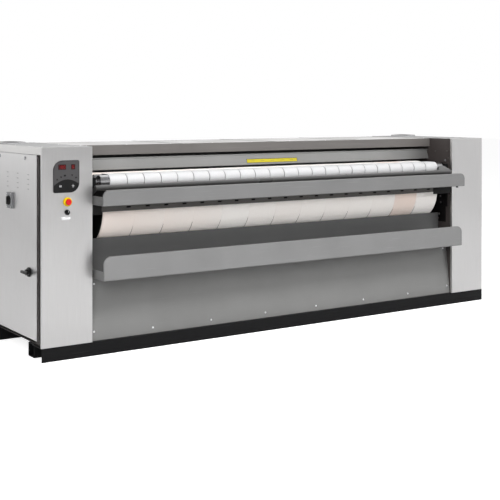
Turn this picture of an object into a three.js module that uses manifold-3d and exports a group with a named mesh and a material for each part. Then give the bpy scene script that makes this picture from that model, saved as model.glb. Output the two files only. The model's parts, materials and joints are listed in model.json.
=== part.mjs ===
// Flatwork ironer: a padded roll turning in a heated chest between two end cabinets.
// Linen goes in over the white feed bands, round the back of the roll, and falls in the lower tray.
//
// Millimetres. +X runs to the operator's right, +Y from the operator to the back, +Z up.
// The origin is on the floor, in the middle of the area that the machine covers.

import * as THREE from "three";
import { mergeVertices } from "three/addons/utils/BufferGeometryUtils.js";
import Module from "manifold-3d";

const wasm = await Module();
wasm.setup();

// ---------- Driving dimensions ----------

// Casing
const OPENING = 3336; // clear length between the two cabinets
const CABINET_WIDTH = 360;
const CABINET_DEPTH = 1030;
const HEAD_ROOM = 195; // cabinets' tops above the roll
const BASE_HEIGHT = 92; // height of the kick plate and the base beams
const SHEET = 2; // casing sheet
const FOLD = 20; // folded edge of a casing panel
const FIT = 0.3; // gap between pieces that rest on each other
const RUNNING_GAP = 1; // radial gap between a turning shaft and its bore
const SIDES = 18; // facets of an ordinary round piece
const SMALL_SIDES = 12; // and of a pin, bore or shaft

// Base and side frames
const KICK_PLATE = 3;
const BEAM_WIDTH = 100;
const BEAM_WALL = 5;
const BEAM_INSET = 14; // beam ends behind the cabinets' outer faces
const FRONT_BEAM_SETBACK = 159;
const REAR_BEAM_SETBACK = 118; // from the back face
const FRAME_PLATE = 10;
const FRAME_SHEET = 4;
const JAMB_INSET = 26; // jambs behind the cabinet's outer face
const JAMB_REACH = 165; // front jamb, measured back from the cabinet front
const RAIL_HEIGHT = 52;
const TIE_BEAM = [80, 60]; // depth and height of a cross beam
const TIE_WALL = 4;
const FRONT_TIE = { setback: 150, above: 46 }; // above the lower tray
const REAR_TIE = { fromBack: 270, above: 45 }; // above the roll

// Cabinet top, back and side door
const CAP_FLANGE = 51; // side flange of the cabinet top
const COLLAR = { radius: 110, wall: 8, height: 14, out: 240, fromBack: 160 };
const DOOR_SETBACK = 84;
const DOOR_FROM_BACK = 90;
const DOOR_GAP = 4;
const DOOR_SILL = 34; // door's lower edge above the base
const BACK_RETURN = 74; // the back panel's fold along the cabinet's side
const HINGE_INSET = 10; // pin centre from the door's rear edge
const HINGE_PIN = 5;
const HINGE_LUG = 14;
const LUG_REACH = 25; // hinge lug in front of the pin and behind it
const VENT = { columns: 4, rows: 4, width: 30, height: 6, column: 186, row: 32.5, setback: 229, down: 133 };
const HANDLE_AT = { setback: 211, above: 439 }; // above the door's lower edge
const HANDLE = { shaft: 8, flange: 32, flangeDepth: 12, neck: 20, neckDepth: 26 };
const T_BAR = { half: 56, edge: 10, depth: [24, 42] };
const LOCK_AT = { front: 281, fromBack: 285, down: 25 }; // below the door's top edge
const LOCK = { shaft: 6, head: 11, proud: 5, slot: [16, 3, 2], reach: 38 };
const TONGUE = { behind: 8, thickness: 4, lockThickness: 3, overlap: 14 };
const ISOLATOR_AT = { setback: 535, down: 324 };

// Roll and its drive
const ROLL_RADIUS = 250; // over the clothing
const ROLL_HEIGHT = 955;
const ROLL_END_GAP = 108;
const ROLL_SIDES = 30;
const CLOTHING = 10;
const CLOTHING_STRIP = 240; // width of one strip of clothing
const GROOVE = [6, 3]; // width and depth of the joint between two strips
const SHELL_WALL = 8;
const END_DISC = 20;
const JOURNAL_RADIUS = 30;
const JOURNAL_BORE = 15;
const BEARING = [80, 50]; // half width and thickness of a bearing housing
const MAIN_CHAIN = { pitch: 25.4, rollTeeth: 38, driveTeeth: 13, plane: 112, width: 12 };
const FEED_CHAIN = { pitch: 15.875, rollTeeth: 60, driveTeeth: 11, plane: 84, width: 8 };
const TOOTH = 0.28; // tooth height as a part of the chain pitch
const CHAIN_THICKNESS = 9;
const CHAIN_GAP = 2;
const MOTOR = { above: 238, box: [220, 190], radius: 80, length: 300, shaft: 15 };

// Feed rollers, bands, guard bar and guard flap
const FEED_ROLLER_RADIUS = 43;
const FEED_ROLLER_SETBACK = 71;
const FEED_ROLLER_END_GAP = 78;
const NOSE_RADIUS = 18;
const BAND_THICKNESS = 2;
const BAND_WIDTH = 128.2;
const BAND_GAP = 4.5;
const BAND_MARGIN = 140; // from the cabinets to the outermost bands, at least
const BAND_WEB = 0.8; // inner ply that joins the bands
const BAND_PLAY = 1.4; // between the rollers and the bands
const FEED_TO_ROLL = 17;
const NOSE_TO_ROLL = 5;
const FEED_SHAFT = 12;
const NOSE_SHAFT = 8;
const BRACKET = { off: 16, thickness: 27, half: 36, below: 35, above: 27, stub: 22 };
const NOSE_BLOCK = { overlap: 16, reach: 16, below: 14, above: 12 };
const GUARD_BAR = { setback: -2, rise: 9, radius: 18.5, sheet: 2.5, mouth: 50, arm: 8, endGap: 20 };
const GUARD_PIVOT = { setback: 45, down: 26, boss: 12, pin: 6 }; // below the upper tray's top
const FLAP = { height: 78, lean: 22, above: 17, behind: 28, pin: 5, barrel: 7, endGap: 8, edge: 12, hem: 8 };

// Chest and what surrounds it
const CHEST_GAP = 4.5; // between the clothing and the chest
const CHEST_WALL = 8;
const CHEST_DEPTH = 35.5; // over both walls
const CHEST_FROM = 35; // degrees past the roll's top, going over the back
const CHEST_TO = 205;
const CHEST_END_GAP = 78;
const CHEST_STEPS = 16;
const CHEST_LUG = { length: 30, reach: 30, back: 60, under: 40 };
const HEATER = { count: 7, radius: 6, header: 6, wall: 2, short: 10, sides: 6 };
const COVER_SETBACK = 125; // dark plate below the roll
const COVER_RISE = 61; // its top edge above the roll's lowest point
const COVER_HEM = [4, 3];
const COVER_CLEAT = 10;
const COVER_END_GAP = 37;
const FINGER = { width: 5, thickness: 3, gap: 1.5, from: 36, to: 65.5, foot: 5, leg: 18 };
const FINGER_BAR = { side: 24, overlap: 7 };

// Trays, rail and panels between the cabinets
const TRAY_SHEET = 2;
const UPPER_TRAY = { reach: 139, tall: 102, corner: 42, endGap: 12, flange: 60, back: 20 };
const UPPER_TRAY_DOWN = 94; // its top below the roll's
const LOWER_TRAY = { reach: 131, tall: 157, corner: 50, endGap: 21, flange: 62, back: 124 };
const LOWER_TRAY_DOWN = 191; // its underside below the roll's lowest point
const TRAY_REST = 40; // end brackets that carry a tray
const SLOTTED_RAIL = { tall: 51.7, depth: 30 };
const SLOT = { width: 32, height: 12, pitch: 147, margin: 250, up: 26 };
const LOWER_PANEL = [26, 72]; // setback at its foot and at its top
const COVER_FACE = 69; // height of the top cover's front face
const COVER_FACE_SETBACK = 270;
const COVER_DROP = 3; // top cover below the cabinets' tops

// Controls on the left cabinet's front: in from its outer edge and down from its top
const PANEL = { in: 79, down: 88, width: 185, height: 213, proud: 5, large: 65, small: 12 };
const PANEL_BOX = { inset: 18, depth: 35 };
const DISPLAYS = {
  temperature_display: { in: 140.5, down: 132, width: 51, tall: 30 },
  speed_display: { in: 218.5, down: 132, width: 25, tall: 30 },
};
const DISPLAY_DEPTH = 2;
const KEYS = { start_key: { in: 217, down: 257 }, stop_key: { in: 128, down: 257 } };
const KEY = { radius: 12, proud: 2, depth: 3, travel: 1.5, gap: 0.6 };
const STOP_AT = { in: 180, down: 362 };
const STOP = { collar: 30, collarDepth: 10, head: 20, headDepth: 12, stem: 9, travel: 5 };
const STOP_BARREL = { radius: 11, length: 40, bore: 30 };
const SELECTOR_AT = { in: 178, down: 431 };
const SELECTOR = { radius: 17, depth: 12, shaft: 8, length: 25, ridge: [10, 12, 2] };

// Services inside the cabinets
const ELECTRICAL_BOX = { size: [180, 300, 420], setback: 480, above: 148, wall: 2 };
const SWITCHGEAR_RAIL = { count: 3, depth: 12, half: 17 };
const BLOWER = { radius: 130, width: 120, out: 180, down: 200, wall: 2, duct: 75, inlet: 80, shaft: 8 };
const BLOWER_FOOT = { reach: 30, from: 110, to: 120, half: 40 };
const BLOWER_MOTOR = { radius: 50, length: 20, bore: 14 };
const IMPELLER = { radius: 95, disc: 3, gap: 10, hub: 20, hubLength: 32, clear: 14 };
const VANES = { count: 10, thickness: 3, eye: 58.9 };

// ---------- Sizes worked out from them ----------

const HALF_OPENING = OPENING / 2;
const HALF_LENGTH = HALF_OPENING + CABINET_WIDTH;
const FRONT = (UPPER_TRAY.reach - CABINET_DEPTH) / 2; // the cabinets' front plane
const FRAME_FRONT = FOLD + FIT;
const FRAME_BACK = CABINET_DEPTH - SHEET - FIT;
const ROLL_TOP = ROLL_HEIGHT + ROLL_RADIUS; // the bands' top lies level with it
const MACHINE_HEIGHT = ROLL_TOP + HEAD_ROOM;
const FRAME_BOTTOM = BASE_HEIGHT + FIT;
const FRAME_TOP = MACHINE_HEIGHT - SHEET - FIT;
const SPAN = [-HALF_OPENING + FIT, HALF_OPENING - FIT]; // pieces held between the side frames
const DOOR_BOTTOM = BASE_HEIGHT + DOOR_SILL;
const DOOR_TOP = MACHINE_HEIGHT - CAP_FLANGE - DOOR_GAP;
const DOOR_REAR = CABINET_DEPTH - DOOR_FROM_BACK;
const HINGE_SETBACK = DOOR_REAR - HINGE_INSET;
const COLLAR_SETBACK = CABINET_DEPTH - COLLAR.fromBack;
const HANDLE_AXIS = [HANDLE_AT.setback, DOOR_BOTTOM + HANDLE_AT.above];
const ISOLATOR_AXIS = [ISOLATOR_AT.setback, DOOR_TOP - ISOLATOR_AT.down];
const UPPER_TRAY_TOP = ROLL_TOP - UPPER_TRAY_DOWN;
const UPPER_TRAY_BOTTOM = UPPER_TRAY_TOP - UPPER_TRAY.tall;
const LOWER_TRAY_BOTTOM = ROLL_HEIGHT - ROLL_RADIUS - LOWER_TRAY_DOWN;
const FRONT_TIE_BOTTOM = LOWER_TRAY_BOTTOM + FRONT_TIE.above;
const COVER_TOP = ROLL_HEIGHT - ROLL_RADIUS + COVER_RISE;

const BAND_RADIUS = FEED_ROLLER_RADIUS + BAND_PLAY + BAND_THICKNESS;
const NOSE_BAND_RADIUS = NOSE_RADIUS + BAND_PLAY + BAND_THICKNESS;
// Horizontal distance from the roll to a smaller roller whose top is level with the roll's.
function besideRoll(radius, gap) {
  return Math.sqrt((ROLL_RADIUS + radius + gap) ** 2 - (ROLL_RADIUS - radius) ** 2);
}
const ROLL_SETBACK = FEED_ROLLER_SETBACK + besideRoll(BAND_RADIUS, FEED_TO_ROLL);
const ROLL_AXIS = [ROLL_SETBACK, ROLL_HEIGHT];
const FEED_AXIS = [FEED_ROLLER_SETBACK, ROLL_TOP - BAND_RADIUS];
const NOSE_AXIS = [ROLL_SETBACK - besideRoll(NOSE_BAND_RADIUS, NOSE_TO_ROLL), ROLL_TOP - NOSE_BAND_RADIUS];
const FLAP_AXIS = [COVER_FACE_SETBACK + FLAP.behind, ROLL_TOP + FLAP.above + FLAP.height];
const GUARD_AXIS = [GUARD_PIVOT.setback, UPPER_TRAY_TOP - GUARD_PIVOT.down];
const ROLL_HALF = HALF_OPENING - ROLL_END_GAP;
const STRIPS = Math.round((2 * ROLL_HALF) / CLOTHING_STRIP);
const STRIP_PITCH = (2 * ROLL_HALF) / STRIPS;

// ---------- Helpers ----------

const radians = THREE.MathUtils.degToRad;
const repeat = (count, make) => Array.from({ length: count }, (_, i) => make(i));

const FINISHES = {
  stainless: { color: 0xb9bbbd, roughness: 0.38, metalness: 0.9 },
  greyPaint: { color: 0x9a9b9c, roughness: 0.5, metalness: 0.1 },
  darkPaint: { color: 0x4a4b4d, roughness: 0.6, metalness: 0.1 },
  blackPaint: { color: 0x1b1b1d, roughness: 0.6, metalness: 0.05 },
  steel: { color: 0xc4c6c8, roughness: 0.25, metalness: 1 },
  clothing: { color: 0xdcd6cf, roughness: 0.95, metalness: 0 },
  band: { color: 0xf2f2f0, roughness: 0.9, metalness: 0 },
  blackPlastic: { color: 0x111113, roughness: 0.45, metalness: 0 },
  greyPlastic: { color: 0x56585b, roughness: 0.5, metalness: 0 },
  redPlastic: { color: 0xd8232a, roughness: 0.4, metalness: 0 },
  yellowPlastic: { color: 0xf0c419, roughness: 0.5, metalness: 0 },
  display: { color: 0x4a1414, roughness: 0.15, metalness: 0 },
  castIron: { color: 0x3a4048, roughness: 0.7, metalness: 0.4 },
};

function part(name, geometry, finish) {
  const mesh = new THREE.Mesh(geometry, new THREE.MeshStandardMaterial(FINISHES[finish]));
  mesh.name = name;
  return mesh;
}

function place(group, x, y, z) {
  group.position.set(x, y, z);
  return group;
}

function block([x0, x1], [y0, y1], [z0, z1]) {
  const box = new THREE.BoxGeometry(x1 - x0, y1 - y0, z1 - z0);
  return box.translate((x0 + x1) / 2, (y0 + y1) / 2, (z0 + z1) / 2);
}

// Round bar along X, Y or Z; across gives its place in the two other directions.
function rod(axis, radius, [from, to], across = [0, 0], sides = SIDES) {
  const bar = new THREE.CylinderGeometry(radius, radius, to - from, sides);
  const middle = (from + to) / 2;
  if (axis === "x") return bar.rotateZ(-Math.PI / 2).translate(middle, across[0], across[1]);
  if (axis === "y") return bar.translate(across[0], middle, across[1]);
  return bar.rotateX(Math.PI / 2).translate(across[0], across[1], middle);
}

// Solid of revolution about the X axis. The profile lists [radius, x] with the solid on its left.
function turned(profile, sides) {
  const points = profile.map(([radius, x]) => new THREE.Vector2(radius, x));
  return new THREE.LatheGeometry(points, sides).rotateZ(-Math.PI / 2);
}

function shapeOf(outline, holes = []) {
  const shape = new THREE.Shape(outline.map(([a, b]) => new THREE.Vector2(a, b)));
  shape.holes = holes.map((hole) => new THREE.Path(hole.map(([a, b]) => new THREE.Vector2(a, b))));
  return shape;
}

const X = new THREE.Vector3(1, 0, 0);
const Y = new THREE.Vector3(0, 1, 0);
const Z = new THREE.Vector3(0, 0, 1);

// A section in the YZ plane, drawn out along X.
function alongX(shape, [from, to]) {
  const bar = new THREE.ExtrudeGeometry(shape, { depth: to - from, bevelEnabled: false });
  return bar.applyMatrix4(new THREE.Matrix4().makeBasis(Y, Z, X)).translate(from, 0, 0);
}

// An upright plate with its outline in the XZ plane, between two setbacks.
function upright(shape, [from, to], curveSegments = 6) {
  const plate = new THREE.ExtrudeGeometry(shape, { depth: to - from, bevelEnabled: false, curveSegments });
  const standing = new THREE.Matrix4().makeBasis(X, Z, Y.clone().negate());
  return plate.applyMatrix4(standing).translate(0, to, 0);
}

function arc([cy, cz], radius, from, to, steps) {
  return repeat(steps + 1, (i) => {
    const angle = from + ((to - from) * i) / steps;
    return [cy + radius * Math.cos(angle), cz + radius * Math.sin(angle)];
  });
}

// Line of a belt or chain round two wheels, the larger one first: the outline that just holds both.
function beltLine(a, ra, b, rb, steps) {
  const along = Math.atan2(b[1] - a[1], b[0] - a[0]);
  const spread = Math.acos((ra - rb) / Math.hypot(b[0] - a[0], b[1] - a[1]));
  return [
    ...arc(b, rb, along - spread, along + spread, Math.ceil(steps / 2)),
    ...arc(a, ra, along + spread, along + 2 * Math.PI - spread, steps),
  ];
}

// Outline of a folded sheet. The path is one face and the sheet lies to its left.
function folded(path, thickness) {
  const points = path.map(([a, b]) => new THREE.Vector2(a, b));
  const normals = points.slice(1).map((p, i) => {
    const run = p.clone().sub(points[i]).normalize();
    return new THREE.Vector2(-run.y, run.x);
  });
  const far = points.map((p, i) => {
    const mitre = normals[Math.max(i - 1, 0)].clone().add(normals[Math.min(i, normals.length - 1)]);
    return p.clone().addScaledVector(mitre, (2 * thickness) / mitre.lengthSq());
  });
  return [...points, ...far.reverse()].map((p) => [p.x, p.y]);
}

function solidOf(geometry) {
  const bare = geometry.index ? geometry.toNonIndexed() : geometry.clone();
  bare.deleteAttribute("normal");
  bare.deleteAttribute("uv");
  const merged = mergeVertices(bare, 1e-3);
  const mesh = new wasm.Mesh({
    numProp: 3,
    vertProperties: merged.attributes.position.array,
    triVerts: new Uint32Array(merged.index.array),
  });
  return new wasm.Manifold(mesh);
}

function geometryOf(solid) {
  const mesh = solid.getMesh();
  const geometry = new THREE.BufferGeometry();
  geometry.setAttribute("position", new THREE.BufferAttribute(mesh.vertProperties, mesh.numProp));
  return geometry.setIndex(new THREE.BufferAttribute(mesh.triVerts, 1));
}

const join = (...pieces) => geometryOf(pieces.map(solidOf).reduce((a, b) => a.add(b)));
const cut = (base, ...tools) => geometryOf(tools.map(solidOf).reduce((a, b) => a.subtract(b), solidOf(base)));

// ---------- Base and cross beams ----------

function kickPlate() {
  const setback = FRONT_BEAM_SETBACK - FIT;
  const face = block([-HALF_LENGTH, HALF_LENGTH], [0, KICK_PLATE], [0, BASE_HEIGHT]);
  const shelf = block([-HALF_LENGTH, HALF_LENGTH], [0, setback], [BASE_HEIGHT - KICK_PLATE, BASE_HEIGHT]);
  return part("kick_plate", join(face, shelf), "blackPaint");
}

// Rectangular tube along X, open at both ends.
function tube(name, setback, height, depth, tall, wall, span, finish) {
  const rectangle = (inset) => [
    [setback + inset, height + inset],
    [setback + depth - inset, height + inset],
    [setback + depth - inset, height + tall - inset],
    [setback + inset, height + tall - inset],
  ];
  return part(name, alongX(shapeOf(rectangle(0), [rectangle(wall)]), span), finish);
}

function baseBeams() {
  const span = [-HALF_LENGTH + BEAM_INSET, HALF_LENGTH - BEAM_INSET];
  const rear = CABINET_DEPTH - REAR_BEAM_SETBACK - BEAM_WIDTH;
  return [
    tube("front_base_beam", FRONT_BEAM_SETBACK, 0, BEAM_WIDTH, BASE_HEIGHT, BEAM_WALL, span, "blackPaint"),
    tube("rear_base_beam", rear, 0, BEAM_WIDTH, BASE_HEIGHT, BEAM_WALL, span, "blackPaint"),
  ];
}

function tieBeams() {
  const section = [...TIE_BEAM, TIE_WALL, SPAN, "darkPaint"];
  return [
    tube("front_tie_beam", FRONT_TIE.setback, FRONT_TIE_BOTTOM, ...section),
    tube("rear_tie_beam", CABINET_DEPTH - REAR_TIE.fromBack, ROLL_TOP + REAR_TIE.above, ...section),
  ];
}

// ---------- End cabinets, drawn outwards from the opening; x is the distance from it ----------

function sideFrame(side) {
  const upright = [FRAME_BOTTOM, FRAME_TOP];
  const depth = [FRAME_FRONT, FRAME_BACK];
  const outer = CABINET_WIDTH - JAMB_INSET;
  const skin = [outer - FRAME_SHEET, outer];
  const lug = (z) => {
    const depth = [HINGE_SETBACK - LUG_REACH, HINGE_SETBACK + LUG_REACH];
    const eye = block([skin[0], CABINET_WIDTH - DOOR_GAP], depth, z);
    return cut(eye, rod("z", HINGE_PIN + RUNNING_GAP, [z[0] - 1, z[1] + 1], hingeCentre(), SMALL_SIDES));
  };
  const welded = join(
    block([0, FRAME_PLATE], depth, upright),
    block([0, outer], depth, [FRAME_BOTTOM, FRAME_BOTTOM + FRAME_SHEET]),
    block(skin, [FRAME_FRONT, JAMB_REACH], upright),
    block([outer - JAMB_INSET, outer], [FRAME_FRONT, FRAME_FRONT + FRAME_SHEET], upright),
    block(skin, [HINGE_SETBACK - JAMB_INSET, FRAME_BACK], upright),
    block(skin, depth, [FRAME_TOP - RAIL_HEIGHT, FRAME_TOP]),
    block([0, outer], [FRAME_FRONT, FRAME_FRONT + FRAME_SHEET], [FRAME_TOP - RAIL_HEIGHT, FRAME_TOP]),
    block([0, outer], [FRAME_BACK - FRAME_SHEET, FRAME_BACK], [FRAME_TOP - RAIL_HEIGHT, FRAME_TOP]),
    lug([DOOR_BOTTOM - DOOR_GAP - HINGE_LUG, DOOR_BOTTOM - DOOR_GAP]),
    lug([DOOR_TOP + DOOR_GAP, DOOR_TOP + DOOR_GAP + HINGE_LUG]),
  );
  const through = [-1, FRAME_PLATE + 1];
  const drilled = cut(
    welded,
    rod("x", JOURNAL_RADIUS + 4 * RUNNING_GAP, through, ROLL_AXIS),
    rod("x", FEED_SHAFT + 4 * RUNNING_GAP, through, FEED_AXIS, SMALL_SIDES),
    rod("x", GUARD_PIVOT.pin + RUNNING_GAP, through, GUARD_AXIS, SMALL_SIDES),
    rod("x", FLAP.pin + RUNNING_GAP, through, FLAP_AXIS, SMALL_SIDES),
  );
  return part(`${side}_side_frame`, drilled, "darkPaint");
}

function hingeCentre() {
  return [CABINET_WIDTH - FOLD / 2 - 1, HINGE_SETBACK];
}

function cabinetFront(side, openings) {
  const pan = cut(
    block([0, CABINET_WIDTH], [0, FOLD], [FRAME_BOTTOM, MACHINE_HEIGHT]),
    block([SHEET, CABINET_WIDTH - SHEET], [SHEET, FOLD + 1], [FRAME_BOTTOM + SHEET, MACHINE_HEIGHT - SHEET]),
    ...openings,
  );
  return part(`${side}_cabinet_front`, pan, "stainless");
}

function cabinetTop(side) {
  const centre = [COLLAR.out, COLLAR_SETBACK];
  const flange = [MACHINE_HEIGHT - CAP_FLANGE, MACHINE_HEIGHT];
  const lid = join(
    block([0, CABINET_WIDTH], [FRAME_FRONT, CABINET_DEPTH], [MACHINE_HEIGHT - SHEET, MACHINE_HEIGHT]),
    block([CABINET_WIDTH - SHEET, CABINET_WIDTH], [FRAME_FRONT, FRAME_BACK], flange),
    rod("z", COLLAR.radius, [MACHINE_HEIGHT - SHEET, MACHINE_HEIGHT + COLLAR.height], centre, SIDES),
  );
  const bore = rod("z", COLLAR.radius - COLLAR.wall, [0, 2 * MACHINE_HEIGHT], centre, SIDES);
  return part(`${side}_cabinet_top`, cut(lid, bore), "stainless");
}

function cabinetBack(side) {
  const sheet = join(
    block([0, CABINET_WIDTH], [CABINET_DEPTH - SHEET, CABINET_DEPTH], [FRAME_BOTTOM, FRAME_TOP]),
    block(
      [CABINET_WIDTH - SHEET, CABINET_WIDTH],
      [CABINET_DEPTH - BACK_RETURN, CABINET_DEPTH],
      [FRAME_BOTTOM, MACHINE_HEIGHT - CAP_FLANGE - FIT],
    ),
  );
  return part(`${side}_cabinet_back`, sheet, "stainless");
}

const doorHoles = {
  handle: { at: HANDLE_AXIS, radius: HANDLE.shaft },
  front_lock: { at: [LOCK_AT.front, DOOR_TOP - LOCK_AT.down], radius: LOCK.shaft },
  rear_lock: { at: [CABINET_DEPTH - LOCK_AT.fromBack, DOOR_TOP - LOCK_AT.down], radius: LOCK.shaft },
};

function sideDoor(side, openings) {
  const pan = cut(
    block([CABINET_WIDTH - FOLD, CABINET_WIDTH], [DOOR_SETBACK, DOOR_REAR], [DOOR_BOTTOM, DOOR_TOP]),
    block(
      [CABINET_WIDTH - FOLD - 1, CABINET_WIDTH - SHEET],
      [DOOR_SETBACK + SHEET, DOOR_REAR - SHEET],
      [DOOR_BOTTOM + SHEET, DOOR_TOP - SHEET],
    ),
  );
  const pinned = join(
    pan,
    rod("z", HINGE_PIN, [DOOR_BOTTOM - HINGE_LUG, DOOR_BOTTOM + HINGE_LUG], hingeCentre(), SMALL_SIDES),
    rod("z", HINGE_PIN, [DOOR_TOP - HINGE_LUG, DOOR_TOP + HINGE_LUG], hingeCentre(), SMALL_SIDES),
  );
  const through = [CABINET_WIDTH - SHEET - 1, CABINET_WIDTH + 1];
  const slots = repeat(VENT.columns * VENT.rows, (i) => {
    const setback = VENT.setback + VENT.column * (i % VENT.columns);
    const height = DOOR_TOP - VENT.down - VENT.row * Math.floor(i / VENT.columns);
    const wide = [setback - VENT.width / 2, setback + VENT.width / 2];
    return block(through, wide, [height - VENT.height / 2, height + VENT.height / 2]);
  });
  const bores = Object.values(doorHoles).map((hole) =>
    rod("x", hole.radius + RUNNING_GAP, through, hole.at, SMALL_SIDES),
  );
  return part(`${side}_side_door`, cut(pinned, ...slots, ...bores, ...openings), "stainless");
}

// Black T-handle; its tongue stands upright when the door is free to open.
function doorHandle(side) {
  const { shaft, flange, flangeDepth, neck, neckDepth } = HANDLE;
  const { half, edge, depth } = T_BAR;
  const tongue = -(JAMB_INSET + FRAME_SHEET + TONGUE.behind);
  const handle = join(
    rod("x", shaft, [tongue, depth[0]], [0, 0], SMALL_SIDES),
    rod("x", flange, [FIT, flangeDepth]),
    rod("x", neck, [flangeDepth, neckDepth]),
    block(depth, [-half, half], [-edge, edge]),
    block(
      [tongue, tongue + TONGUE.thickness],
      [-edge, edge],
      [-edge, HANDLE_AT.setback - JAMB_REACH + TONGUE.overlap],
    ),
  );
  return place(part(`${side}_door_handle`, handle, "blackPlastic"), CABINET_WIDTH, ...HANDLE_AXIS);
}

function doorLock(side, end) {
  const { shaft, head, proud, slot, reach } = LOCK;
  const [long, wide, deep] = slot;
  const tongue = -(JAMB_INSET + FRAME_SHEET + TONGUE.behind);
  const slotted = cut(
    rod("x", head, [FIT, proud], [0, 0], SMALL_SIDES),
    block([proud - deep, proud + 1], [-long / 2, long / 2], [-wide / 2, wide / 2]),
  );
  const lock = join(
    slotted,
    rod("x", shaft, [tongue, proud - deep - 1], [0, 0], SMALL_SIDES - 4),
    block([tongue, tongue + TONGUE.lockThickness], [-shaft, reach], [-shaft, shaft]),
  );
  const mesh = part(`${side}_${end}_door_lock`, lock, "steel");
  return place(mesh, CABINET_WIDTH, ...doorHoles[`${end}_lock`].at);
}

function rollBearing(side) {
  const [half, thickness] = BEARING;
  const inside = FRAME_PLATE + FIT;
  const housing = cut(
    block([inside, inside + thickness], [-half, half], [-half, half]),
    rod("x", JOURNAL_RADIUS + RUNNING_GAP, [0, inside + thickness + 1], [0, 0], SIDES),
  );
  return place(part(`${side}_roll_bearing`, housing, "castIron"), 0, ...ROLL_AXIS);
}

// Black block inside the opening that carries the ends of both feed rollers.
function feedBracket(side) {
  const [y, z] = FEED_AXIS;
  const [noseY, noseZ] = NOSE_AXIS;
  const { off, thickness, half, below, above, stub } = BRACKET;
  const across = [-off - thickness, -off];
  const bracket = cut(
    join(
      block(across, [y - half, y + half], [z - below, z + above]),
      block(
        across,
        [y + half - NOSE_BLOCK.overlap, noseY + NOSE_BLOCK.reach],
        [noseZ - NOSE_BLOCK.below, noseZ + NOSE_BLOCK.above],
      ),
      block([-off - 1, -FIT], [y - stub, y + stub], [z - stub, z + stub]),
    ),
    rod("x", FEED_SHAFT + RUNNING_GAP, [-FEED_ROLLER_END_GAP, 1], FEED_AXIS, SMALL_SIDES),
    rod("x", NOSE_SHAFT + RUNNING_GAP, [-FEED_ROLLER_END_GAP, 1], NOSE_AXIS, SMALL_SIDES),
  );
  return part(`${side}_feed_bracket`, bracket, "blackPaint");
}

function cabinet(side, frontOpenings, doorOpenings) {
  const group = new THREE.Group();
  group.add(
    sideFrame(side),
    cabinetFront(side, frontOpenings),
    cabinetTop(side),
    cabinetBack(side),
    sideDoor(side, doorOpenings),
    doorHandle(side),
    doorLock(side, "front"),
    doorLock(side, "rear"),
    rollBearing(side),
    feedBracket(side),
  );
  return group;
}

// ---------- Main switch on the left door ----------

const SWITCH = { half: [45, 55], plate: 8, body: [35, 40], depth: 50, shaft: 5, rotor: 24 };
const SWITCH_GRIP = [18, 52, 20];

function switchOpening() {
  const [y, z] = ISOLATOR_AXIS;
  const [halfY, halfZ] = SWITCH.body.map((half) => half + RUNNING_GAP);
  return block([CABINET_WIDTH - FOLD, CABINET_WIDTH + 1], [y - halfY, y + halfY], [z - halfZ, z + halfZ]);
}

function mainSwitch() {
  const group = new THREE.Group();
  const [halfY, halfZ] = SWITCH.half;
  const [bodyY, bodyZ] = SWITCH.body;
  const housing = cut(
    join(
      block([FIT, SWITCH.plate], [-halfY, halfY], [-halfZ, halfZ]),
      block([-SWITCH.depth, FIT + 1], [-bodyY, bodyY], [-bodyZ, bodyZ]),
    ),
    rod("x", SWITCH.shaft + RUNNING_GAP, [-2 * SWITCH.shaft, SWITCH.plate + 1], [0, 0], SMALL_SIDES),
  );
  const [wide, tall, deep] = SWITCH_GRIP;
  const front = 2 * SWITCH.plate;
  const handle = join(
    rod("x", SWITCH.shaft, [2 - 2 * SWITCH.shaft, front - 1], [0, 0], SMALL_SIDES),
    rod("x", SWITCH.rotor, [SWITCH.plate + FIT, front]),
    block([front - 1, front + deep], [-wide / 2, wide / 2], [-tall / 2, tall / 2]),
  );
  group.add(part("isolator_switch", housing, "greyPlastic"));
  group.add(part("isolator_handle", handle, "blackPlastic"));
  return place(group, CABINET_WIDTH, ...ISOLATOR_AXIS);
}

// ---------- Controls on the left cabinet's front ----------

// Outline of the control panel: two opposite corners are large, the other two small.
function panelOutline() {
  const { width, height, large, small } = PANEL;
  const shape = new THREE.Shape();
  shape.absarc(width - small, height - small, small, 0, Math.PI / 2);
  shape.absarc(large, height - large, large, Math.PI / 2, Math.PI);
  shape.absarc(small, small, small, Math.PI, 1.5 * Math.PI);
  shape.absarc(width - large, large, large, 1.5 * Math.PI, 2 * Math.PI);
  return shape;
}

// Place on the panel, counted from its lower left corner.
const panelPoint = (spot) => [spot.in - PANEL.in, PANEL.down + PANEL.height - spot.down];

function onPanel(spot, depth, grow = 0) {
  const { width, tall } = spot;
  const [x, z] = panelPoint(spot);
  const halfWidth = width / 2 + grow;
  const halfTall = tall / 2 + grow;
  return block([x - halfWidth, x + halfWidth], depth, [z - halfTall, z + halfTall]);
}

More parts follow.
